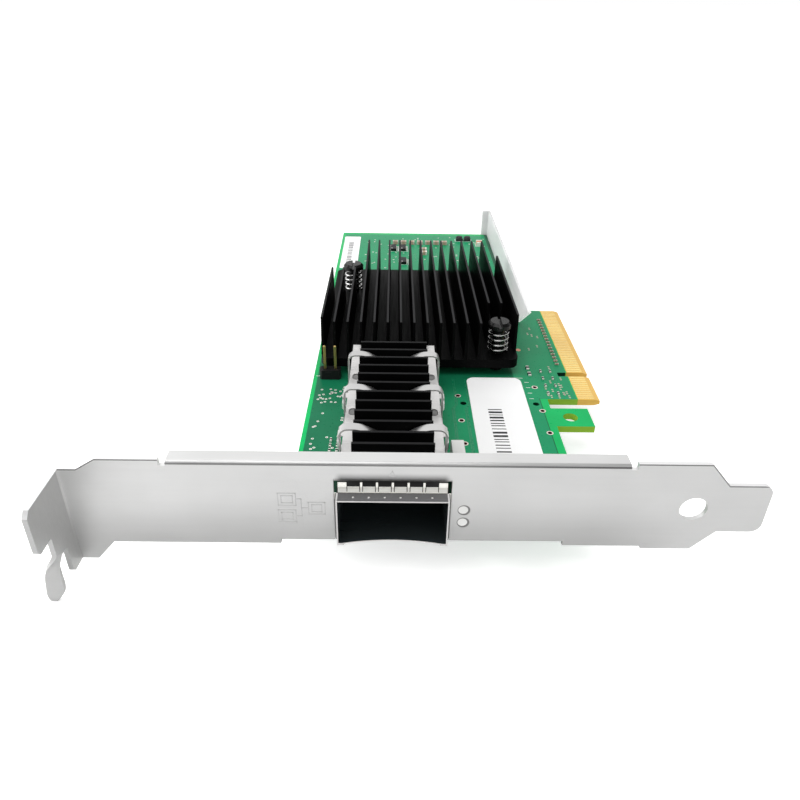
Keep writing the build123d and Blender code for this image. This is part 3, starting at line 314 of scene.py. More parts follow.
def largest(tree, *values):
    """The largest of the values."""
    return chained(tree, "MAXIMUM", values)


def above(tree, value, limit):
    """One where the value is over the limit."""
    return math_node(tree, "GREATER_THAN", value, limit)


def below(tree, value, limit):
    """One where the value is under the limit."""
    return math_node(tree, "LESS_THAN", value, limit)


def inside(tree, value, low, high):
    """One where the value lies between low and high."""
    return product(tree, above(tree, value, low), below(tree, value, high))


def outside(tree, mask):
    """The mask turned round."""
    return math_node(tree, "SUBTRACT", 1.0, mask)


def mapped(tree, value, source, target, interpolation="LINEAR"):
    """A value mapped from one range to another, and held at its ends."""
    node = tree.nodes.new("ShaderNodeMapRange")
    node.interpolation_type = interpolation
    node.inputs["From Min"].default_value, node.inputs["From Max"].default_value = source
    node.inputs["To Min"].default_value, node.inputs["To Max"].default_value = target
    tree.links.new(value, node.inputs["Value"])
    return node.outputs["Result"]


def ranged(tree, value, low, high):
    """A value mapped from the grain's middle range to low and high."""
    return mapped(tree, value, (0.3, 0.7), (low, high))


def faded(tree, value, full, none, interpolation="SMOOTHSTEP"):
    """One up to the first value, fading to nothing at the second."""
    return mapped(tree, value, (full, none), (1.0, 0.0), interpolation)


def object_coordinates(tree):
    """Object coordinates of the piece."""
    return tree.nodes.new("ShaderNodeTexCoord").outputs["Object"]


def separated(tree, vector):
    """The x, y and z of a vector."""
    node = tree.nodes.new("ShaderNodeSeparateXYZ")
    tree.links.new(vector, node.inputs[0])
    return node.outputs


def object_axes(tree):
    """The x, y and z of the piece's object coordinates."""
    return separated(tree, object_coordinates(tree))


def true_normal(tree):
    """The x, y and z of the surface's own normal."""
    return separated(tree, tree.nodes.new("ShaderNodeNewGeometry").outputs["True Normal"])


def toned(base, factor):
    """A colour made darker or lighter by a factor."""
    return [min(1.0, channel * factor) for channel in base]


def tinted(tree, mask, dark, light):
    """A colour that runs from dark to light with the mask."""
    mix = tree.nodes.new("ShaderNodeMix")
    mix.data_type = "RGBA"
    tree.links.new(mask, mix.inputs[0])
    for socket, value in ((mix.inputs[6], dark), (mix.inputs[7], light)):
        if isinstance(value, bpy.types.NodeSocket):
            tree.links.new(value, socket)
        else:
            socket.default_value = (*value, 1.0)
    return mix.outputs[2]


def bumped(tree, shader, height, strength, distance):
    """Height fed to the shader's normal."""
    node = tree.nodes.new("ShaderNodeBump")
    node.inputs["Strength"].default_value = strength
    node.inputs["Distance"].default_value = distance
    tree.links.new(height, node.inputs["Height"])
    tree.links.new(node.outputs["Normal"], shader.inputs["Normal"])


def shader_of(material):
    """The material's Principled shader."""
    return material.node_tree.nodes["Principled BSDF"]


def new_material(name, base, roughness, metallic, specular=0.5):
    """A material with its Principled shader set to plain values."""
    material = bpy.data.materials.new(name)
    material.use_nodes = True
    shader = shader_of(material)
    shader.inputs["Base Color"].default_value = (*base, 1.0)
    shader.inputs["Roughness"].default_value = roughness
    shader.inputs["Metallic"].default_value = metallic
    shader.inputs["Specular IOR Level"].default_value = specular
    material.diffuse_color = (*base, 1.0)
    return material


def texture(tree, name, make, setting, value):
    """The outputs of a texture group on the piece's object coordinates, with one input set."""
    node = tree.nodes.new("ShaderNodeGroup")
    node.node_tree = bpy.data.node_groups.get(name) or make(name)
    node.inputs[setting].default_value = value
    tree.links.new(object_coordinates(tree), node.inputs["Vector"])
    return node.outputs


def textured(material, group, tone, spread, bump, depth):
    """The material with tone, roughness and relief that follow a texture group."""
    tree = material.node_tree
    shader = shader_of(material)
    base = shader.inputs["Base Color"].default_value[:3]
    roughness = shader.inputs["Roughness"].default_value
    outputs = texture(tree, *group)
    cloud = ranged(tree, outputs["Cloud"], 0.0, 1.0)
    clouded = tinted(tree, cloud, toned(base, 1.0 - tone), toned(base, 1.0 + tone))
    tree.links.new(clouded, shader.inputs["Base Color"])
    rough = ranged(tree, outputs["Grain"], roughness - spread, roughness + spread)
    tree.links.new(rough, shader.inputs["Roughness"])
    bumped(tree, shader, outputs["Grain"], bump, depth)
    return material


def grained(
    name, base, roughness, metallic=0.0, scale=3000.0, tone=0.12, spread=0.08, bump=0.15, specular=0.5
):
    """A finish with fine grain: moulded, cast, plated or printed."""
    material = new_material(name, base, roughness, metallic, specular)
    group = ("Fine Grain", grain_group, "Scale", scale)
    return textured(material, group, tone, spread, bump, 0.02 * MM)


def drawn(
    name,
    base,
    roughness,
    metallic=1.0,
    stretch=(60.0, 4000.0, 4000.0),
    tone=0.1,
    spread=0.08,
    bump=0.12,
    specular=0.5,
):
    """A finish with long fine lines: rolled sheet, drawn wire or an extrusion."""
    material = new_material(name, base, roughness, metallic, specular)
    group = ("Drawn Lines", drawn_group, "Stretch", stretch)
    return textured(material, group, tone, spread, bump, 0.015 * MM)


def even_sheet(name, base, roughness, metallic):
    """Rolled sheet with faint lines, for the large faces."""
    return drawn(name, base, roughness, metallic, SHEET_LINES, tone=0.035, bump=0.06)


def zoned(material, *zones):
    """The material with another colour in each of its zones."""
    tree = material.node_tree
    x, y, z = object_axes(tree)
    socket = shader_of(material).inputs["Base Color"]
    result = socket.links[0].from_socket
    for zone, tint in zones:
        result = tinted(tree, zone(tree, x, y, z), result, tint)
    tree.links.new(result, socket)
    return material


def glowing(material, zone, tint):
    """The material with light of its own in a zone, in the given tint."""
    tree = material.node_tree
    shader = shader_of(material)
    mask = zone(tree, *object_axes(tree))
    tree.links.new(tinted(tree, mask, (0.0, 0.0, 0.0), tint), shader.inputs["Emission Color"])
    shader.inputs["Emission Strength"].default_value = 1.0
    return material


def with_inputs(material, values):
    """The material with more plain values on its shader."""
    for name, value in values.items():
        shader_of(material).inputs[name].default_value = value
    return material


def board_material(finish):
    """Solder mask over copper pour and bare laminate, with bare cut edges and a bare connector end."""
    material = new_material("solder_mask", finish.mask, 0.32, 0.0, 0.12)
    shader = shader_of(material)
    tree = material.node_tree
    x, y, z = object_axes(tree)
    low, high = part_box("board")
    contact_low, contact_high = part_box("edge_contacts")
    sink_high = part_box("main_heatsink")[1]
    cage_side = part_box("port_cage")[1].x
    label_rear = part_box("board_label")[1].y
    board_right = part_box("side_plate")[1].x
    margin = 1.9 * MM
    pour_right = board_right - margin

    # Where the copper pour lies under the mask, and where the laminate is bare
    body = product(
        tree,
        inside(tree, x, low.x + 0.5 * margin, pour_right),
        inside(tree, y, low.y + margin, high.y - margin),
    )
    neck = product(
        tree,
        inside(tree, x, pour_right - margin, contact_low.x - 0.4 * MM),
        inside(tree, y, contact_low.y - 0.2 * MM, contact_high.y + 0.2 * MM),
    )
    pour = largest(tree, body, neck)
    fingers = product(
        tree,
        above(tree, x, contact_low.x - 0.15 * MM),
        inside(tree, y, contact_low.y - 0.6 * MM, contact_high.y + 0.6 * MM),
    )
    cut_edge = below(tree, math_node(tree, "ABSOLUTE", true_normal(tree)[2], 0.0), 0.3)

    # Lighter planes in front, beside the heatsink and behind it
    front = product(
        tree, inside(tree, x, cage_side, pour_right), faded(tree, y, label_rear - 14.0 * MM, label_rear)
    )
    strip = inside(tree, x, sink_high.x - 1.0 * MM, contact_low.x)
    plane = largest(tree, front, strip, above(tree, y, sink_high.y))
    grain = texture(tree, "Fine Grain", grain_group, "Scale", 1400.0)
    cloud = ranged(tree, grain["Cloud"], 0.0, 1.0)
    light = tinted(tree, plane, finish.pour, finish.plane)
    deep = tinted(tree, plane, toned(finish.pour, 0.8), toned(finish.plane, 0.85))
    poured = tinted(tree, cloud, deep, light)
    bare = tinted(tree, cloud, toned(finish.mask, 0.9), toned(finish.mask, 1.08))

    # A dark line along the pour's right edge, and painted shadow on a dark rim under the side plate
    line = product(
        tree, inside(tree, x, pour_right, pour_right + 0.16 * MM), below(tree, y, contact_low.y)
    )
    rim = product(
        tree, inside(tree, x, pour_right, board_right + margin), above(tree, y, contact_high.y)
    )
    masked = tinted(tree, pour, bare, poured)
    masked = tinted(tree, largest(tree, line, rim), masked, toned(finish.pour, 0.5))
    ended = tinted(tree, fingers, masked, finish.finger_ground)
    wall = tinted(tree, pour, finish.laminate, toned(finish.pour, 0.2))
    edge = tinted(tree, fingers, wall, finish.finger_ground)
    coloured = tinted(tree, cut_edge, ended, edge)

    # Shade round the cage, under the bracket's strip
    mouth = cage_side + 3.0 * MM
    shade = product(tree, inside(tree, x, -mouth, mouth), faded(tree, y, 18.0 * MM, 28.0 * MM), 0.85)
    shaded = tinted(tree, shade, coloured, (0.0, 0.005, 0.003))
    tree.links.new(shaded, shader.inputs["Base Color"])
    rough = ranged(tree, grain["Grain"], 0.26, 0.38)
    rough = math_node(tree, "ADD", rough, product(tree, cut_edge, 0.4))
    tree.links.new(rough, shader.inputs["Roughness"])
    weave = tree.nodes.new("ShaderNodeTexWave")
    weave.inputs["Scale"].default_value = 320.0
    weave.inputs["Distortion"].default_value = 0.4
    tree.links.new(object_coordinates(tree), weave.inputs["Vector"])
    height = math_node(tree, "ADD", product(tree, weave.outputs["Fac"], 0.12), pour)
    bumped(tree, shader, height, 0.5, 0.035 * MM)
    return material


def beside_strip(tree, x):
    """One beside the strip folded along the bracket's top."""
    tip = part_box("bracket")[1].x
    return outside(tree, inside(tree, x, tip - STRIP_START, tip - STRIP_END))


def bracket_low_light(tree, x, y, z):
    """The lower part of the bracket's face and its flange, which see less of the light."""
    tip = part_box("bracket")[1].x
    lower = faded(tree, z, -1.0 * MM, 11.0 * MM)
    face = product(tree, lower, faded(tree, x, tip - 30.0 * MM, tip - 8.0 * MM))
    flange = below(tree, y, -0.6 * MM)
    return product(tree, largest(tree, face, flange), 0.52)


def bracket_shade(tree, x, y, z):
    """Painted shade on the bracket: over the roll above the port, as lines along the folded top strip and
    as a thin shadow under the cut top edges.
    """
    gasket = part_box("cage_gasket")[1]
    tip, _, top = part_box("bracket")[1]
    # Painted shade on the roll over the port, darkest at its lower edge
    roll = product(
        tree,
        above(tree, z, gasket.z - 0.2 * MM),
        faded(tree, z, gasket.z + 0.9 * MM, gasket.z + 3.0 * MM),
        faded(tree, math_node(tree, "ABSOLUTE", x, 0.0), gasket.x - 1.9 * MM, gasket.x - 0.5 * MM),
        0.93,
    )
    beside = beside_strip(tree, x)
    # Painted shade along the folded top strip: a grey band with a darker line below it
    front = below(tree, y, 0.6 * MM)
    fold_shade = product(tree, front, inside(tree, z, top - 0.7 * MM, top - 0.1 * MM), 0.25)
    far = faded(tree, x, tip - 26.0 * MM, tip - 60.0 * MM)
    depth = math_node(tree, "ADD", product(tree, far, 0.25), 0.65)
    crease_shade = product(tree, inside(tree, z, top - 0.98 * MM, top - 0.7 * MM), depth)
    lines = product(tree, math_node(tree, "ADD", fold_shade, crease_shade), outside(tree, beside))
    # Painted shadow: a thin dark band on the face under the top edges beside the strip, following the
    # edges' drops
    left = faded(tree, x, tip - FLANGE_SLOPE[0], tip - FLANGE_SLOPE[1], "LINEAR")
    right = faded(tree, x, tip - TAB_SLOPE[0], tip - TAB_SLOPE[1], "LINEAR")
    drop = math_node(tree, "ADD", product(tree, left, FLANGE_DROP), product(tree, right, TAB_DROP))
    edge = math_node(tree, "SUBTRACT", top - 0.26 * MM, drop)
    face = inside(tree, y, -0.05 * MM, 0.05 * MM)
    edge_shadow = product(tree, above(tree, z, edge), beside, face, 0.72)
    return largest(tree, roll, lines, edge_shadow)


def bracket_edge_highlight(tree, x, y, z):
    """Painted highlight on the upward-facing cut top edges beside the folded strip."""
    upward = above(tree, true_normal(tree)[2], 0.4)
    return product(tree, beside_strip(tree, x), above(tree, z, 12.0 * MM), upward)


def cage_inside_shade(tree, x, y, z):
    """Painted shade on the cage's inner faces, which lie out of the light."""
    low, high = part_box("port_connector")
    return product(
        tree,
        above(tree, true_normal(tree)[1], -0.5),
        inside(tree, x, low.x - 0.25 * MM, high.x + 0.25 * MM),
        inside(tree, z, 0.1 * MM, high.z + 1.06 * MM),
    )


def cage_strip_shadow(tree, x, y, z):
    """Painted shadow of the bracket's strip on the cage's roof, behind the gasket's fingers."""
    return product(
        tree,
        above(tree, z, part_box("port_connector")[1].z + 1.05 * MM),
        above(tree, y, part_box("cage_gasket")[1].y - 0.1 * MM),
        faded(tree, y, 6.0 * MM, 8.5 * MM),
    )


def gasket_band(tree, x, y, z):
    """The gasket's flat band, in front of its fingers."""
    return below(tree, y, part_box("cage_gasket")[1].y - 0.17 * MM)


def gasket_glint(tree, x, y, z):
    """Painted highlight, as glow, on the gasket's fingers and the ribs between them, where they catch the
    light.
    """
    finger_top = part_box("cage_gasket")[1].z - 0.9 * MM
    ribs = product(tree, above(tree, z, finger_top), 0.35)
    glint = product(tree, faded(tree, z, finger_top - 0.9 * MM, finger_top), 0.22)
    return product(tree, largest(tree, ribs, glint), outside(tree, gasket_band(tree, x, y, z)))


def fin_top_highlight(tree, x, y, z):
    """Painted highlight on the tops of both heatsinks' fins, where the light from above falls."""
    low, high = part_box("main_heatsink")
    skin = 0.08 * MM
    near = below(tree, y, low.y - 0.5 * MM)
    cage = product(tree, near, above(tree, z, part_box("cage_heatsink")[1].z - skin), 0.6)
    return largest(tree, above(tree, z, high.z - skin), cage)


def pipe_end_glow(tree, x, y, z):
    """Painted light: a white glow on the light pipe's ends in the lamp windows."""
    return product(tree, faded(tree, y, 0.8 * MM, 2.5 * MM), 0.22)


def plate_glow(tree, x, y, z):
    """Painted light on the side plate: a white glow beside the black heatsink, fading out towards the
    rear.
    """
    low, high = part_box("main_heatsink")
    return product(tree, faded(tree, y, low.y + 20.0 * MM, high.y + 30.0 * MM), 0.46)


def make_materials(finish):
    """Every finish of the card, by name."""
    wire_lines = (900.0, 900.0, 4000.0)
    even_lines = (900.0, 900.0, 900.0)
    fin_lines = (4000.0, 90.0, 2500.0)
    bracket = even_sheet("plated_bracket", finish.bracket, 0.42, 0.75)
    cage = even_sheet("plated_cage", finish.cage, 0.34, 0.85)
    gasket = even_sheet("gasket_sheet", finish.gasket, 0.36, 0.15)
    anodised = drawn(
        "black_anodising", finish.anodised, 0.42, 0.0, fin_lines, tone=0.25, specular=0.035
    )
    clear = with_inputs(
        grained("clear_moulding", finish.clear, 0.2, scale=900.0, tone=0.04, bump=0.05),
        {
            "Transmission Weight": 0.12,
            "IOR": 1.49,
            "Subsurface Weight": 0.2,
            "Subsurface Radius": (1.0 * MM, 1.0 * MM, 1.0 * MM),
        },
    )
    plate = with_inputs(
        grained("plate_coat", finish.plate, 0.42, scale=2200.0, tone=0.03),
        {"Subsurface Weight": 1.0, "Subsurface Radius": WHITE, "Subsurface Scale": 4.0 * MM},
    )
    return {
        "mask": board_material(finish),
        "trace": grained("mask_over_traces", toned(finish.pour, 1.35), 0.3, scale=1500.0),
        "gold": drawn("gold_plate", finish.gold, 0.28, stretch=(200.0, 5000.0, 5000.0)),
        "dull_gold": drawn("dull_gold", toned(finish.gold, 0.42), 0.38, stretch=even_lines),
        # The bracket's zones are painted light: shade on its lower face and flange, shade over the roll,
        # along the top strip and under the top edges, and a highlight on the top edges
        "bracket": zoned(
            bracket,
            (bracket_low_light, toned(finish.bracket, 0.48)),
            (bracket_shade, finish.fold_shade),
            (bracket_edge_highlight, finish.edge_highlight),
        ),
        # Painted shade inside the cage, and painted shadow of the bracket's strip on its roof
        "cage": zoned(cage, (cage_inside_shade, finish.cage_inner_shade), (cage_strip_shadow, finish.roof_shadow)),
        # The gasket's fingers and ribs glow in its own colour: painted highlight
        "gasket": glowing(
            zoned(gasket, (gasket_band, finish.gasket_flat)), gasket_glint, finish.gasket
        ),
        # The cage sheet darkened: painted shade for the louvre tongues and the rims in the lamp windows
        "shade": drawn("louvre_sheet", toned(finish.cage, 0.3), 0.4, 0.5, SHEET_LINES),
        "coil": drawn("coil_wire", toned(finish.spring, 0.7), 0.16, stretch=wire_lines),
        "weld": drawn("weld_spots", finish.cage, 0.34, 0.85, SHEET_LINES),
        "spring": drawn("spring_steel", finish.spring, 0.32, tone=0.04, spread=0.04, bump=0.02),
        # Lighter fin tops: painted highlight
        "anodised": zoned(anodised, (fin_top_highlight, toned(finish.anodised, 10.0))),
        "black": grained("black_moulding", finish.black, 0.45, scale=2500.0, specular=0.2),
        "pin": grained("pin_moulding", finish.pin, 0.26, scale=1800.0, spread=0.04, specular=0.22),
        # The side plate glows white beside the heatsink: painted light
        "plate": glowing(plate, plate_glow, WHITE),
        # The light pipe's ends glow white: painted light
        "clear": glowing(clear, pipe_end_glow, WHITE),
        "paper": grained("label_paper", finish.paper, 0.55, scale=4000.0, tone=0.015),
        "ink": grained("label_ink", finish.ink, 0.5, scale=4000.0),
        "legend": grained("board_print", finish.legend, 0.5, scale=4000.0, tone=0.06),
        "tin": grained("tinned_ends", finish.tin, 0.35, 0.35, scale=1600.0, bump=0.25),
        "ring": grained("plated_rings", finish.ring, 0.4, 0.6, scale=1600.0),
        "copper": grained("copper_barrel", finish.copper, 0.45, 0.3, scale=2000.0),
        "pad": grained("bare_pads", finish.pad, 0.45, 0.2, scale=1600.0),
        "bare": grained("bare_copper", finish.bare, 0.4, 0.3, scale=1600.0),
        "tan": grained("tan_ceramic", toned(finish.ceramic, 0.85), 0.5, scale=2500.0),
        "ceramic": grained("fired_ceramic", finish.ceramic, 0.5, scale=2500.0),
        "ferrite": grained("ferrite", finish.ferrite, 0.6, scale=1500.0, specular=0.2),
        "tantalum": grained("tantalum_case", finish.tantalum, 0.45, scale=2000.0),
        "silicone": grained("thermal_silicone", finish.silicone, 0.7, scale=1500.0),
        "substrate": grained("chip_laminate", finish.substrate, 0.4, scale=1500.0),
        "stamped": drawn("stamped_lines", toned(finish.bracket, 0.86), 0.5, 0.6, SHEET_LINES),
    }


NODE_FINISH = {
    "mask": ["board"],
    "gold": ["edge_contacts", "port_contacts"],
    "dull_gold": ["header_pins"],
    "bracket": ["bracket"],
    "cage": ["port_cage"],
    "gasket": ["cage_gasket"],
    "spring": ["heatsink_clip", "bracket_screws"],
    "anodised": ["main_heatsink", "cage_heatsink"],
    "black": ["port_connector", "header_body", "flash_chip"],
    "pin": ["push_pins"],
    "plate": ["side_plate"],
    "clear": ["light_pipe", "status_lamps"],
    "paper": ["board_label", "rear_label"],
    "tin": ["chip_lid", "crystal"],
    "silicone": ["thermal_pad"],
    "substrate": ["chip_substrate"],
}


def finish_named(name):
    """A finish made earlier by the finishes operator."""
    return bpy.data.materials[bpy.context.scene["card_materials"][name]]


def solids(node):
    """Lowest and highest corner of each separate solid in a CAD node."""
    bm = bmesh.new()
    bm.from_mesh(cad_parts[node].data)
    bmesh.ops.remove_doubles(bm, verts=bm.verts, dist=1e-7)
    left = set(bm.verts)
    boxes = []
    while left:
        todo = [left.pop()]
        found = []
        while todo:
            vert = todo.pop()
            found.append(vert.co.copy())
            for edge in vert.link_edges:
                other = edge.other_vert(vert)
                if other in left:
                    left.remove(other)
                    todo.append(other)
        low = Vector([min(p[i] for p in found) for i in range(3)])
        high = Vector([max(p[i] for p in found) for i in range(3)])
        boxes.append((low, high))
    bm.free()
    return sorted(boxes, key=lambda box: tuple(round(c, 6) for c in box[0]))


def pin_spots(middle):
    """Where the press-in pins of a cage go, for a port with its middle at the given x."""
    return [
        (middle + side * PIN_ASIDE, row + (PIN_STAGGER if side > 0 else 0.0))
        for row in PIN_ROWS
        for side in (-1, 1)
    ]


def add_piece(name, bm, finish, slot, body="card", replaces=(), smooth=False):
    """A finished piece from a mesh, riding on its body."""
    bmesh.ops.recalc_face_normals(bm, faces=bm.faces)
    mesh = bpy.data.meshes.new(name)
    bm.to_mesh(mesh)
    bm.free()
    for face in mesh.polygons:
        face.use_smooth = smooth
    mesh.materials.append(finish_named(finish))
    piece = bpy.data.objects.new(name, mesh)
    bpy.context.scene.collection.objects.link(piece)
    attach(piece, body)
    if replaces:
        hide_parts(*replaces)
    return piece


def add_box(bm, low, high, bevel=0.0):
    """A box between two corners, with rounded edges."""
    low = Vector(low)
    high = Vector(high)
    verts = bmesh.ops.create_cube(bm, size=1.0)["verts"]
    bmesh.ops.scale(bm, vec=high - low, verts=verts)
    bmesh.ops.translate(bm, vec=(low + high) / 2, verts=verts)
    if bevel:
        edges = list({edge for vert in verts for edge in vert.link_edges})
        bmesh.ops.bevel(
            bm, geom=edges, offset=bevel, affect="EDGES", segments=2, profile=0.5, material=-1
        )


def add_bar(bm, start, end, width, height):
    """A flat bar of print on a level surface, from start to end."""
    start = Vector(start)
    end = Vector(end)
    run = end - start
    verts = bmesh.ops.create_cube(bm, size=1.0)["verts"]
    bmesh.ops.scale(bm, vec=(run.length + width, width, height), verts=verts)
    turn = Matrix.Rotation(math.atan2(run.y, run.x), 3, "Z")
    bmesh.ops.rotate(bm, matrix=turn, verts=verts)
    bmesh.ops.translate(bm, vec=(start + end) / 2 + Vector((0, 0, height / 2)), verts=verts)


def add_disc(bm, centre, radius, height, sides, top_radius=None):
    """A low disc or cone that stands on a point."""
    bmesh.ops.create_cone(
        bm,
        cap_ends=True,
        segments=sides,
        radius1=radius,
        radius2=radius if top_radius is None else top_radius,
        depth=abs(height),
        matrix=Matrix.Translation(Vector(centre) + Vector((0, 0, height / 2))),
    )


def add_ring(bm, centre, inner, outer, height, sides):
    """A flat ring with a square section round a point."""
    centre = Vector(centre)
    corners = [(inner, 0.0), (outer, 0.0), (outer, height), (inner, height)]
    verts = [bm.verts.new(centre + Vector((r, 0, h))) for r, h in corners]
    edges = [bm.edges.new((verts[i], verts[(i + 1) % 4])) for i in range(4)]
    bmesh.ops.spin(
        bm, geom=verts + edges, cent=centre, axis=(0, 0, 1), angle=math.tau, steps=sides, use_merge=True
    )


def add_rim(bm, centre, outer, inner, shift, thickness):
    """An upright flat rim in a window, wider on one side by a shift of its inner edge."""
    upright = Matrix.Rotation(math.pi / 2, 4, "X")
    edges = []
    for radius, aside in ((outer, 0.0), (inner, -shift)):
        place = Matrix.Translation(centre + Vector((aside, 0, 0))) @ upright
        made = bmesh.ops.create_circle(bm, cap_ends=False, segments=32, radius=radius, matrix=place)
        edges += list({edge for vert in made["verts"] for edge in vert.link_edges})
    faces = bmesh.ops.bridge_loops(bm, edges=edges)["faces"]
    bmesh.ops.solidify(bm, geom=faces, thickness=thickness)


def add_trace(bm, points, across, width, height):
    """A trace drawn as an edge extruded from point to point, then given its thickness."""
    across = Vector(across) * (width / 2)
    first = Vector(points[0])
    edge = bm.edges.new((bm.verts.new(first - across), bm.verts.new(first + across)))
    faces = []
    for here, there in zip(points, points[1:]):
        made = bmesh.ops.extrude_edge_only(bm, edges=[edge])["geom"]
        verts = [item for item in made if isinstance(item, bmesh.types.BMVert)]
        bmesh.ops.translate(bm, vec=Vector(there) - Vector(here), verts=verts)
        edge = next(
            item for item in made if isinstance(item, bmesh.types.BMEdge) and set(item.verts) == set(verts)
        )
        faces += [item for item in made if isinstance(item, bmesh.types.BMFace)]
    bmesh.ops.recalc_face_normals(bm, faces=faces)
    bmesh.ops.solidify(bm, geom=faces, thickness=height)


class CARD_OT_finishes(bpy.types.Operator):
    """Make the finishes and put them on the CAD nodes"""

    bl_idname = "card.finishes"
    bl_label = "Finishes"

    def execute(self, context):
        made = make_materials(context.scene.card_finish)
        context.scene["card_materials"] = {name: material.name for name, material in made.items()}
        for name, nodes in NODE_FINISH.items():
            for node in nodes:
                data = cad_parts[node].data
                data.materials.clear()
                data.materials.append(made[name])
        return {"FINISHED"}


class CARD_OT_chip_parts(bpy.types.Operator):
    """Ceramic, tantalum and resistor chips with rounded bodies and tinned ends"""

    bl_idname = "card.chip_parts"
    bl_label = "Chip Parts"

    kinds = {
        "bulk_capacitors": ("ceramic", "tan_ceramic"),
        "filter_capacitors": ("ceramic", "tan_ceramic"),
        "signal_capacitors": ("black", "tan_ceramic"),
        "coupling_capacitors": ("tan", "tan_ceramic"),
        "decoupling_capacitors": ("ceramic", "tan_ceramic"),
        "chip_resistors": ("black", "resistor_ceramic"),
        "tantalum_capacitor": ("tantalum", "tantalum_plastic"),
    }
    dull_ended = ("coupling_capacitors", "bulk_capacitors")

    def execute(self, context):
        detail = context.scene.card_detail
        ends = bmesh.new()
        dull_ends = bmesh.new()
        for node, (finish, slot) in self.kinds.items():
            capped = dull_ends if node in self.dull_ended else ends
            bodies = bmesh.new()
            for low, high in solids(node):
                size = high - low
                along = 0 if size.x > size.y else 1
                shy = 0.03 * size.z
                inset = Vector((shy, shy, 0.0))
                inset[along] = 0.1 * size[along]
                add_box(bodies, low + inset, high - inset - Vector((0, 0, shy)), detail.part_bevel)
                reach = detail.terminal_share * size[along]
                first_high = high.copy()
                first_high[along] = low[along] + reach
                add_box(capped, low, first_high, detail.part_bevel)
                last_low = low.copy()
                last_low[along] = high[along] - reach
                add_box(capped, last_low, high, detail.part_bevel)
            add_piece(node + "_bodies", bodies, finish, slot, replaces=[node])
        add_piece("chip_part_ends", ends, "tin", "crystal_metal")
        add_piece("coupling_ends", dull_ends, "pad", "crystal_metal")
        return {"FINISHED"}


class CARD_OT_packages(bpy.types.Operator):
    """Regulator packages with legs and a dot, and inductors with a wound core's cap"""

    bl_idname = "card.packages"
    bl_label = "Packages"

    legs_a_side = 4

    def execute(self, context):
        detail = context.scene.card_detail
        bodies = bmesh.new()
        legs = bmesh.new()
        dots = bmesh.new()
        for low, high in solids("regulator_chips"):
            size = high - low
            reach = 0.14 * size.x
            add_box(
                bodies,
                (low.x + reach, low.y, low.z + 0.06 * size.z),
                (high.x - reach, high.y, high.z),
                2 * detail.part_bevel,
            )
            half = 0.06 * size.y
            leg_top = low.z + 0.4 * size.z
            for i in range(self.legs_a_side):
                middle = low.y + size.y * (i + 0.5) / self.legs_a_side
                for x0, x1 in ((low.x, low.x + 2 * reach), (high.x - 2 * reach, high.x)):
                    add_box(
                        legs, (x0, middle - half, low.z), (x1, middle + half, leg_top), detail.part_bevel
                    )
            dot = Vector((low.x + 0.3 * size.x, low.y + 0.14 * size.y, high.z))
            add_disc(dots, dot, 0.09 * size.x, detail.print_height, 16)
        add_piece("regulator_bodies", bodies, "black", "chip_plastic", replaces=["regulator_chips"])
        add_piece("regulator_legs", legs, "tin", "crystal_metal")
        add_piece("regulator_dots", dots, "legend", "label_paper")
        cores = bmesh.new()
        for low, high in solids("power_inductors"):
            size = high - low
            add_box(cores, low, high - Vector((0, 0, 0.3 * size.z)), 3 * detail.part_bevel)
            top = Vector(((low.x + high.x) / 2, (low.y + high.y) / 2, low.z + 0.6 * size.z))
            add_disc(cores, top, 0.46 * size.x, 0.4 * size.z, 32, 0.43 * size.x)
        add_piece("inductor_cores", cores, "ferrite", "inductor_ferrite", replaces=["power_inductors"])
        return {"FINISHED"}


class CARD_OT_coil_springs(bpy.types.Operator):
    """Smooth coil springs under the push pin heads"""

    bl_idname = "card.coil_springs"
    bl_label = "Coil Springs"

    def execute(self, context):
        detail = context.scene.card_detail
        bm = bmesh.new()
        for low, high in solids("push_pin_springs"):
            middle = (low + high) / 2
            radius = (high.x - low.x - detail.wire) / 2
            rise = high.z - low.z - detail.wire
            steps = round(detail.coil_turns * detail.coil_steps)
            start = Vector((middle.x + radius, middle.y, low.z + detail.wire / 2))
            upright = Matrix.Translation(start) @ Matrix.Rotation(math.pi / 2, 4, "X")
            verts = bmesh.ops.create_circle(
                bm, cap_ends=True, segments=detail.wire_sides, radius=detail.wire / 2, matrix=upright
            )["verts"]
            edges = list({edge for vert in verts for edge in vert.link_edges})
            last = bmesh.ops.spin(
                bm,
                geom=verts + edges,
                cent=middle,
                axis=(0, 0, 1),
                dvec=(0, 0, rise / steps),
                angle=math.tau * detail.coil_turns,
                steps=steps,
            )["geom_last"]
            rim = [item for item in last if isinstance(item, bmesh.types.BMEdge)]
            bmesh.ops.contextual_create(bm, geom=rim)
        add_piece("coil_springs", bm, "coil", "spring_steel", replaces=["push_pin_springs"], smooth=True)
        return {"FINISHED"}


class CARD_OT_spring_clip(bpy.types.Operator):
    """Clip over the cage's heatsink, with its arms and hooked rails, as one smooth-shaded piece in spring
    steel with its steep edges kept sharp
    """

    bl_idname = "card.spring_clip"
    bl_label = "Spring Clip"

    def execute(self, context):
        bm = bmesh.new()
        bm.from_mesh(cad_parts["heatsink_clip"].data)
        bmesh.ops.remove_doubles(bm, verts=bm.verts, dist=1e-7)
        mesh = bpy.data.meshes.new("spring_clip")
        bm.to_mesh(mesh)
        bm.free()
        mesh.shade_smooth()
        mesh.set_sharp_from_angle(angle=math.radians(35.0))
        mesh.materials.clear()
        mesh.materials.append(finish_named("spring"))
        piece = bpy.data.objects.new("spring_clip", mesh)
        context.scene.collection.objects.link(piece)
        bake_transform(piece)
        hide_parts("heatsink_clip")
        return {"FINISHED"}


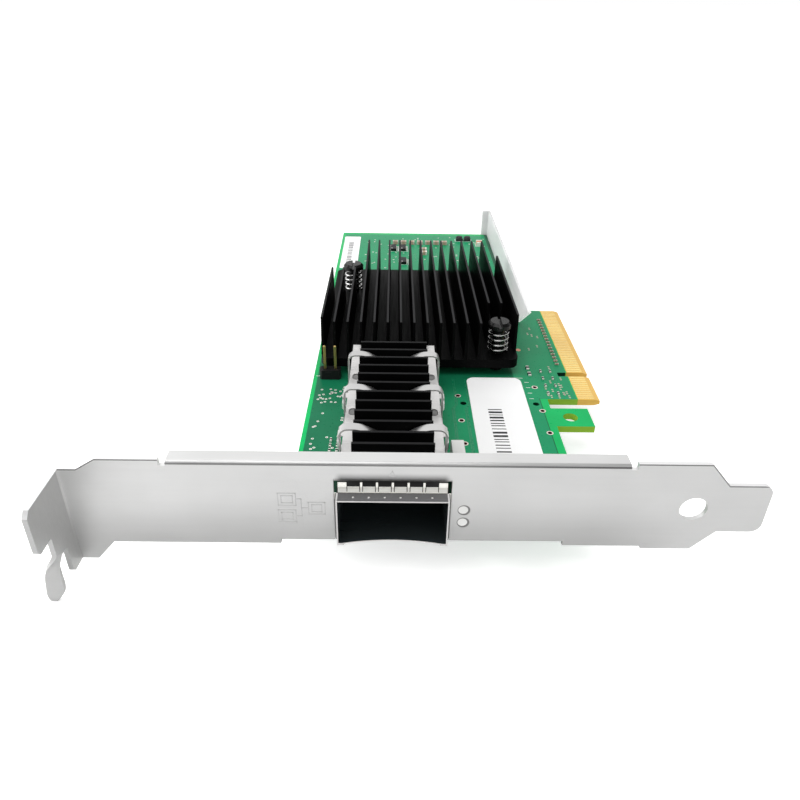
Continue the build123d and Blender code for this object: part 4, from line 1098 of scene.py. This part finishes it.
class CARD_OT_empty_holes(bpy.types.Operator):
    """Plated rings and barrels in the holes of the unfitted second port"""

    bl_idname = "card.empty_holes"
    bl_label = "Empty Holes"

    def execute(self, context):
        detail = context.scene.card_detail
        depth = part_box("board")[0].z
        bore = detail.hole_radius - detail.barrel_wall
        rings = bmesh.new()
        barrels = bmesh.new()
        for x, y in pin_spots(PORT_SPACING):
            outer = detail.hole_radius + detail.ring_margin
            add_ring(rings, (x, y, 0.0), bore, outer, detail.trace_height, 24)
            add_ring(barrels, (x, y, 0.0), bore - detail.barrel_wall, bore, depth, 24)
        add_piece("empty_hole_rings", rings, "ring", "crystal_metal")
        add_piece("empty_hole_barrels", barrels, "copper", "gold")
        return {"FINISHED"}


class CARD_OT_board_copper(bpy.types.Operator):
    """Traces, vias and test pads on both faces of the board"""

    bl_idname = "card.board_copper"
    bl_label = "Board Copper"

    # Corners of each loose cluster in millimetres, and how many it holds
    via_clusters = (
        ((-17.6, 46.0), (-11.6, 53.5), 26),
        ((-18.0, 22.0), (-11.2, 44.0), 16),
        ((-11.0, 126.0), (34.0, 150.0), 46),
        ((-11.0, 150.0), (34.0, 169.0), 34),
    )
    pad_clusters = (
        ((36.8, 49.6), (42.6, 59.0), 15),
        ((35.6, 62.0), (40.0, 90.0), 7),
    )
    solder_side_vias = 150
    pad_size = (0.44 * MM, 0.4 * MM)
    pad_shift = 0.42 * MM
    dot_place = (33.2 * MM, 74.2 * MM, 0.0)
    dot_radius = 0.7 * MM

    def execute(self, context):
        detail = context.scene.card_detail
        low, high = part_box("board")
        rng = random.Random(11)
        traces = bmesh.new()
        vias = bmesh.new()
        bores = bmesh.new()

        def via(x, y, face=0.0):
            height = detail.trace_height if face == 0.0 else -detail.trace_height
            add_ring(vias, (x, y, face), detail.via_bore, detail.via_outer, height, 12)
            # A black disc in each via's bore: painted shade of the open hole
            add_disc(bores, (x, y, face), detail.via_bore, 0.5 * height, 12)

        def run(x, jog, *rows):
            columns = (x, x, x + jog, x + jog)
            points = [(column, row * MM, 0.0) for column, row in zip(columns, rows)]
            add_trace(traces, points, (1, 0, 0), detail.trace_width, detail.trace_height)

        def scattered(clusters):
            for (x0, y0), (x1, y1), count in clusters:
                for _ in range(count):
                    x = rng.uniform(x0, x1) * MM
                    yield x, rng.uniform(y0, y1) * MM

        # Lanes run from the edge connector towards the controller
        for i, (a, b) in enumerate(solids("edge_contacts")):
            if a.z < 0.0 or i % 2:
                continue
            y = (a.y + b.y) / 2
            end = a.x - (1.1 * MM if i % 4 else 1.9 * MM)
            lane = [(a.x, y, 0.0), (end, y, 0.0)]
            add_trace(traces, lane, (0, 1, 0), detail.lane_width, detail.trace_height)
            via(end, y)
        # Pairs beside the unfitted port, and supply runs behind the heatsink
        for x in (13.6, 14.0, 16.6, 17.0):
            run(x * MM, 0.9 * MM, 22.0, 44.0, 46.0, 58.0)
        for i in range(6):
            run((6.0 + 2.6 * i) * MM, 1.4 * MM, 125.0, 140.0, 142.0, 150.0)
        # Stitching and fan-out vias
        for x, y in scattered(self.via_clusters):
            via(x, y)
        # Unfitted pads in front of the connector and one bare dot by the heatsink
        pads = bmesh.new()
        size = Vector((*self.pad_size, detail.trace_height))
        for x, y in scattered(self.pad_clusters):
            for shift in (-self.pad_shift, self.pad_shift):
                corner = Vector((x - size.x / 2, y + shift - size.y / 2, 0.0))
                add_box(pads, corner, corner + size)
        dot = bmesh.new()
        add_disc(dot, self.dot_place, self.dot_radius, detail.trace_height, 24)
        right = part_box("side_plate")[1].x
        for _ in range(self.solder_side_vias):
            x = rng.uniform(low.x + 2 * MM, right - 2 * MM)
            via(x, rng.uniform(low.y + 14 * MM, high.y - 3 * MM), low.z)
        add_piece("unfitted_pads", pads, "pad", "crystal_metal")
        add_piece("bare_dot", dot, "bare", "gold")
        add_piece("board_traces", traces, "trace", "solder_mask")
        add_piece("board_vias", vias, "tin", "crystal_metal")
        add_piece("via_bores", bores, "black", "chip_plastic")
        return {"FINISHED"}


class CARD_OT_board_print(bpy.types.Operator):
    """Plain outlines printed on the board"""

    bl_idname = "card.board_print"
    bl_label = "Board Print"

    def execute(self, context):
        detail = context.scene.card_detail
        bm = bmesh.new()

        def bar(x0, y0, x1, y1):
            add_bar(bm, (x0, y0, 0.0), (x1, y1, 0.0), detail.pen, detail.print_height)

        gap = 0.3 * MM
        for node in ("regulator_chips", "power_inductors", "tantalum_capacitor"):
            for low, high in solids(node):
                x0, x1 = low.x - gap, high.x + gap
                y0, y1 = low.y - gap, high.y + gap
                bar(x0, y0, x1, y0)
                bar(x1, y0, x1, y1)
                bar(x1, y1, x0, y1)
                bar(x0, y1, x0, y0)
        for low, high in solids("bulk_capacitors"):
            y = high.y + 0.4 * MM
            bar(low.x, y, high.x, y)
        # Ticks at the heatsink's corners and beside the label
        low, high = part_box("main_heatsink")
        half = 1.1 * MM
        for x in (low.x, high.x):
            for y in (low.y - 0.9 * MM, high.y + 0.9 * MM):
                bar(x - half, y, x + half, y)
        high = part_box("board_label")[1]
        x = high.x + 0.9 * MM
        for i in range(4):
            y = high.y - (2.0 + 2.6 * i) * MM
            bar(x, y, x + 0.9 * MM, y)
        add_piece("board_print", bm, "legend", "label_paper")
        return {"FINISHED"}


class CARD_OT_label_bars(bpy.types.Operator):
    """Plain bars on the paper labels"""

    bl_idname = "card.label_bars"
    bl_label = "Label Bars"

    def execute(self, context):
        height = context.scene.card_detail.print_height
        rng = random.Random(5)
        bm = bmesh.new()

        def row_of_bars(x0, x1, y, end, top, widths, gaps):
            while y < end:
                width = rng.choice(widths) * MM
                add_box(bm, (x0, y, top), (x1, y + width, top + height))
                y += width + rng.choice(gaps) * MM

        low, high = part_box("board_label")
        x = low.x + 3.75 * MM
        row_of_bars(
            x,
            x + 3.15 * MM,
            low.y + 1.2 * MM,
            low.y + 20.0 * MM,
            high.z,
            widths=(0.3, 0.35, 0.5, 0.75),
            gaps=(0.6, 0.75, 0.95),
        )
        low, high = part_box("rear_label")
        middle = (low.x + high.x) / 2
        row_of_bars(
            middle - 1.1 * MM,
            middle + 0.6 * MM,
            low.y + 3.0 * MM,
            high.y - 6.0 * MM,
            high.z,
            widths=(0.25, 0.45),
            gaps=(0.4, 0.7),
        )
        add_piece("label_bars", bm, "ink", "chip_plastic")
        return {"FINISHED"}


class CARD_OT_bracket_marks(bpy.types.Operator):
    """Stamped network sign and port pointer on the bracket's face"""

    bl_idname = "card.bracket_marks"
    bl_label = "Bracket Marks"

    # Places on the face in millimetres: middle and width of each screen, and paths of lines
    screens = ((-17.9, 8.9, 3.0), (-18.0, 5.3, 3.0), (-12.9, 7.0, 2.8))
    screen_height = 2.6
    screen_inset = 0.55
    paths = (
        ((-16.2, 9.0), (-15.5, 9.0)),
        ((-16.2, 5.3), (-15.5, 5.3)),
        ((-15.5, 5.3), (-15.5, 9.0)),
        ((-15.5, 7.1), (-14.5, 7.1)),
        ((-0.1, 15.0), (0.45, 14.0), (-0.65, 14.0), (-0.1, 15.0)),
    )

    def execute(self, context):
        detail = context.scene.card_detail
        bm = bmesh.new()

        def stroke(x0, z0, x1, z1):
            start = Vector((x0 * MM, 0, z0 * MM))
            end = Vector((x1 * MM, 0, z1 * MM))
            run = end - start
            verts = bmesh.ops.create_cube(bm, size=1.0)["verts"]
            size = (run.length + detail.pen, detail.print_height, detail.pen)
            bmesh.ops.scale(bm, vec=size, verts=verts)
            turn = Matrix.Rotation(-math.atan2(run.z, run.x), 3, "Y")
            bmesh.ops.rotate(bm, matrix=turn, verts=verts)
            lift = Vector((0, -detail.print_height / 2, 0))
            bmesh.ops.translate(bm, vec=(start + end) / 2 + lift, verts=verts)

        for x, z, width in self.screens:
            for inset in (0.0, self.screen_inset):
                x0, x1 = x - width / 2 + inset, x + width / 2 - inset
                z0, z1 = z - self.screen_height / 2 + inset, z + self.screen_height / 2 - inset
                stroke(x0, z0, x1, z0)
                stroke(x0, z1, x1, z1)
                stroke(x0, z0, x0, z1)
                stroke(x1, z0, x1, z1)
        for path in self.paths:
            for here, there in zip(path, path[1:]):
                stroke(*here, *there)
        add_piece("bracket_marks", bm, "stamped", "bracket_steel")
        return {"FINISHED"}


class CARD_OT_cage_details(bpy.types.Operator):
    """Weld dimples, louvre tongues, rims in the lamp windows and solder joints under the board"""

    bl_idname = "card.cage_details"
    bl_label = "Cage Details"

    louvre_rows = (27.0 * MM, 41.5 * MM)
    louvre_aside = 8.15 * MM
    joint_radius = 0.4 * MM

    def execute(self, context):
        detail = context.scene.card_detail
        weld_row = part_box("cage_gasket")[0].y + 0.75 * MM
        welds = bmesh.new()
        for i in range(FINGER_COUNT):
            x = (i - (FINGER_COUNT - 1) / 2) * FINGER_PITCH
            add_disc(welds, (x, weld_row, GASKET_ROOF), 0.2 * MM, 0.05 * MM, 12, 0.12 * MM)
        # Louvre tongues in the darkened sheet: painted shade in the openings
        tongues = bmesh.new()
        for side in (-1, 1):
            for y in self.louvre_rows:
                middle = Vector((side * self.louvre_aside, y, GASKET_ROOF))
                low = middle - Vector((0.8, 0.9, 0.55)) * MM
                high = middle + Vector((0.8, 1.2, -0.3)) * MM
                add_box(tongues, low, high, detail.part_bevel)
        add_piece("louvre_tongues", tongues, "shade", "cage_steel")
        add_piece("gasket_welds", welds, "weld", "cage_steel")
        # Rims in the lamp windows in the darkened sheet: painted shade of the windows' walls, wider on one
        # side
        rims = bmesh.new()
        pipe_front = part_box("light_pipe")[0].y
        for z in WINDOW_HEIGHTS:
            centre = Vector((WINDOW_X, pipe_front - 0.02 * MM, z))
            add_rim(rims, centre, 1.08 * MM, 0.85 * MM, 0.12 * MM, 0.03 * MM)
        add_piece("window_rims", rims, "shade", "bracket_steel")
        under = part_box("board")[0].z
        joints = bmesh.new()
        header_spots = [(low + high) / 2 for low, high in solids("header_pins")]
        spots = [(x, y, 0.95 * MM) for x, y in pin_spots(0.0)]
        spots += [(spot.x, spot.y, 0.9 * MM) for spot in header_spots]
        for x, y, wide in spots:
            add_disc(joints, (x, y, under), self.joint_radius, -detail.joint_height, 16, wide)
        add_piece("solder_joints", joints, "tin", "crystal_metal")
        return {"FINISHED"}


class CARD_OT_stage(bpy.types.Operator):
    """Floor, soft light and the camera"""

    bl_idname = "card.stage"
    bl_label = "Stage"

    # Place, target and size of each lamp in metres, and the value that holds its power
    lamps = {
        "overhead_lamp": ((-0.12, -0.05, 0.45), (0.0, 0.06, 0.0), 0.4, "key"),
        "front_lamp": ((0.25, -0.45, 0.25), (0.0, 0.0, 0.0), 0.35, "fill"),
        "side_lamp": ((-0.4, 0.12, 0.16), (0.03, 0.13, 0.0), 0.3, "side"),
    }

    def execute(self, context):
        scene = context.scene
        stage = scene.card_stage
        scene.view_settings.view_transform = "Standard"
        self.make_floor(scene, stage)
        self.make_sky(scene, stage)
        for name, (place, target, size, power) in self.lamps.items():
            self.make_lamp(scene, name, place, target, size, getattr(stage, power))
        self.make_camera(scene, stage)
        return {"FINISHED"}

    def make_floor(self, scene, stage):
        bm = bmesh.new()
        bmesh.ops.create_grid(bm, x_segments=1, y_segments=1, size=4.0)
        level = cad_box[0][2] - 0.1 * MM
        bmesh.ops.translate(bm, vec=(0, 0, level), verts=bm.verts)
        mesh = bpy.data.meshes.new("floor")
        bm.to_mesh(mesh)
        bm.free()
        floor = bpy.data.objects.new("floor", mesh)
        scene.collection.objects.link(floor)
        material = new_material("studio_floor", (0.8, 0.8, 0.8), 0.9, 0.0)
        shader = shader_of(material)
        tree = material.node_tree
        shader.inputs["Emission Color"].default_value = (*WHITE, 1.0)
        path = tree.nodes.new("ShaderNodeLightPath").outputs
        shown = largest(tree, path["Is Camera Ray"], path["Is Transmission Ray"])
        mirrored = product(tree, path["Is Glossy Ray"], stage.floor_mirrored)
        glow = math_node(tree, "ADD", product(tree, shown, stage.floor), mirrored)
        tree.links.new(glow, shader.inputs["Emission Strength"])
        mesh.materials.append(material)

    def make_sky(self, scene, stage):
        world = bpy.data.worlds.new("studio")
        scene.world = world
        world.use_nodes = True
        tree = world.node_tree
        background = tree.nodes["Background"]
        background.inputs["Color"].default_value = (*WHITE, 1.0)
        path = tree.nodes.new("ShaderNodeLightPath").outputs
        seen = largest(tree, path["Is Glossy Ray"], path["Is Transmission Ray"], path["Is Camera Ray"])
        strength = math_node(tree, "ADD", product(tree, seen, 1.0 - stage.sky), stage.sky)
        x, y, z = object_axes(tree)
        over_camera = product(tree, above(tree, z, 0.35), below(tree, y, 0.4))
        cut = product(tree, over_camera, path["Is Glossy Ray"], 1.0 - stage.dim)
        tree.links.new(math_node(tree, "SUBTRACT", strength, cut), background.inputs["Strength"])

    def make_lamp(self, scene, name, place, target, size, power):
        lamp = bpy.data.lights.new(name, "AREA")
        lamp.shape = "SQUARE"
        lamp.size = size
        lamp.energy = power
        holder = bpy.data.objects.new(name, lamp)
        scene.collection.objects.link(holder)
        aim = Vector(target) - Vector(place)
        holder.matrix_world = Matrix.Translation(place) @ aim.to_track_quat("-Z", "Y").to_matrix().to_4x4()

    def make_camera(self, scene, stage):
        camera = bpy.data.cameras.new("camera")
        camera.lens = stage.lens
        camera.sensor_width = 36.0
        camera.clip_start = 0.005
        holder = bpy.data.objects.new("camera", camera)
        scene.collection.objects.link(holder)
        forward = Vector(
            (
                math.sin(stage.yaw) * math.cos(stage.pitch),
                math.cos(stage.yaw) * math.cos(stage.pitch),
                -math.sin(stage.pitch),
            )
        )
        level = Vector((math.cos(stage.yaw), -math.sin(stage.yaw), 0.0))
        raised = level.cross(forward)
        right = math.cos(stage.roll) * level + math.sin(stage.roll) * raised
        up = math.cos(stage.roll) * raised - math.sin(stage.roll) * level
        turn = Matrix((right, up, -forward)).transposed().to_4x4()
        holder.matrix_world = Matrix.Translation(stage.place) @ turn
        scene.camera = holder


STEPS = (
    CARD_OT_finishes,
    CARD_OT_chip_parts,
    CARD_OT_packages,
    CARD_OT_coil_springs,
    CARD_OT_spring_clip,
    CARD_OT_empty_holes,
    CARD_OT_board_copper,
    CARD_OT_board_print,
    CARD_OT_label_bars,
    CARD_OT_bracket_marks,
    CARD_OT_cage_details,
    CARD_OT_stage,
)


class CARD_PT_sidebar(bpy.types.Panel):
    """The card's steps and values"""

    bl_idname = "CARD_PT_sidebar"
    bl_label = "Network Card"
    bl_space_type = "VIEW_3D"
    bl_region_type = "UI"
    bl_category = "Network Card"

    def draw(self, context):
        for step in STEPS:
            self.layout.operator(step.bl_idname)
        for group in (context.scene.card_finish, context.scene.card_detail, context.scene.card_stage):
            box = self.layout.box()
            for key in group.bl_rna.properties.keys():
                if key not in ("rna_type", "name"):
                    box.prop(group, key)


GROUPS = {"card_finish": CardFinish, "card_detail": CardDetail, "card_stage": CardStage}


def register():
    for group in GROUPS.values():
        bpy.utils.register_class(group)
    for name, group in GROUPS.items():
        setattr(bpy.types.Scene, name, PointerProperty(type=group))
    for step in STEPS:
        bpy.utils.register_class(step)
    bpy.utils.register_class(CARD_PT_sidebar)


def unregister():
    bpy.utils.unregister_class(CARD_PT_sidebar)
    for step in reversed(STEPS):
        bpy.utils.unregister_class(step)
    for name in GROUPS:
        delattr(bpy.types.Scene, name)
    for group in reversed(list(GROUPS.values())):
        bpy.utils.unregister_class(group)


def main():
    register()
    for step in STEPS:
        area, name = step.bl_idname.split(".")
        getattr(getattr(bpy.ops, area), name)()


if __name__ == "__main__":
    main()
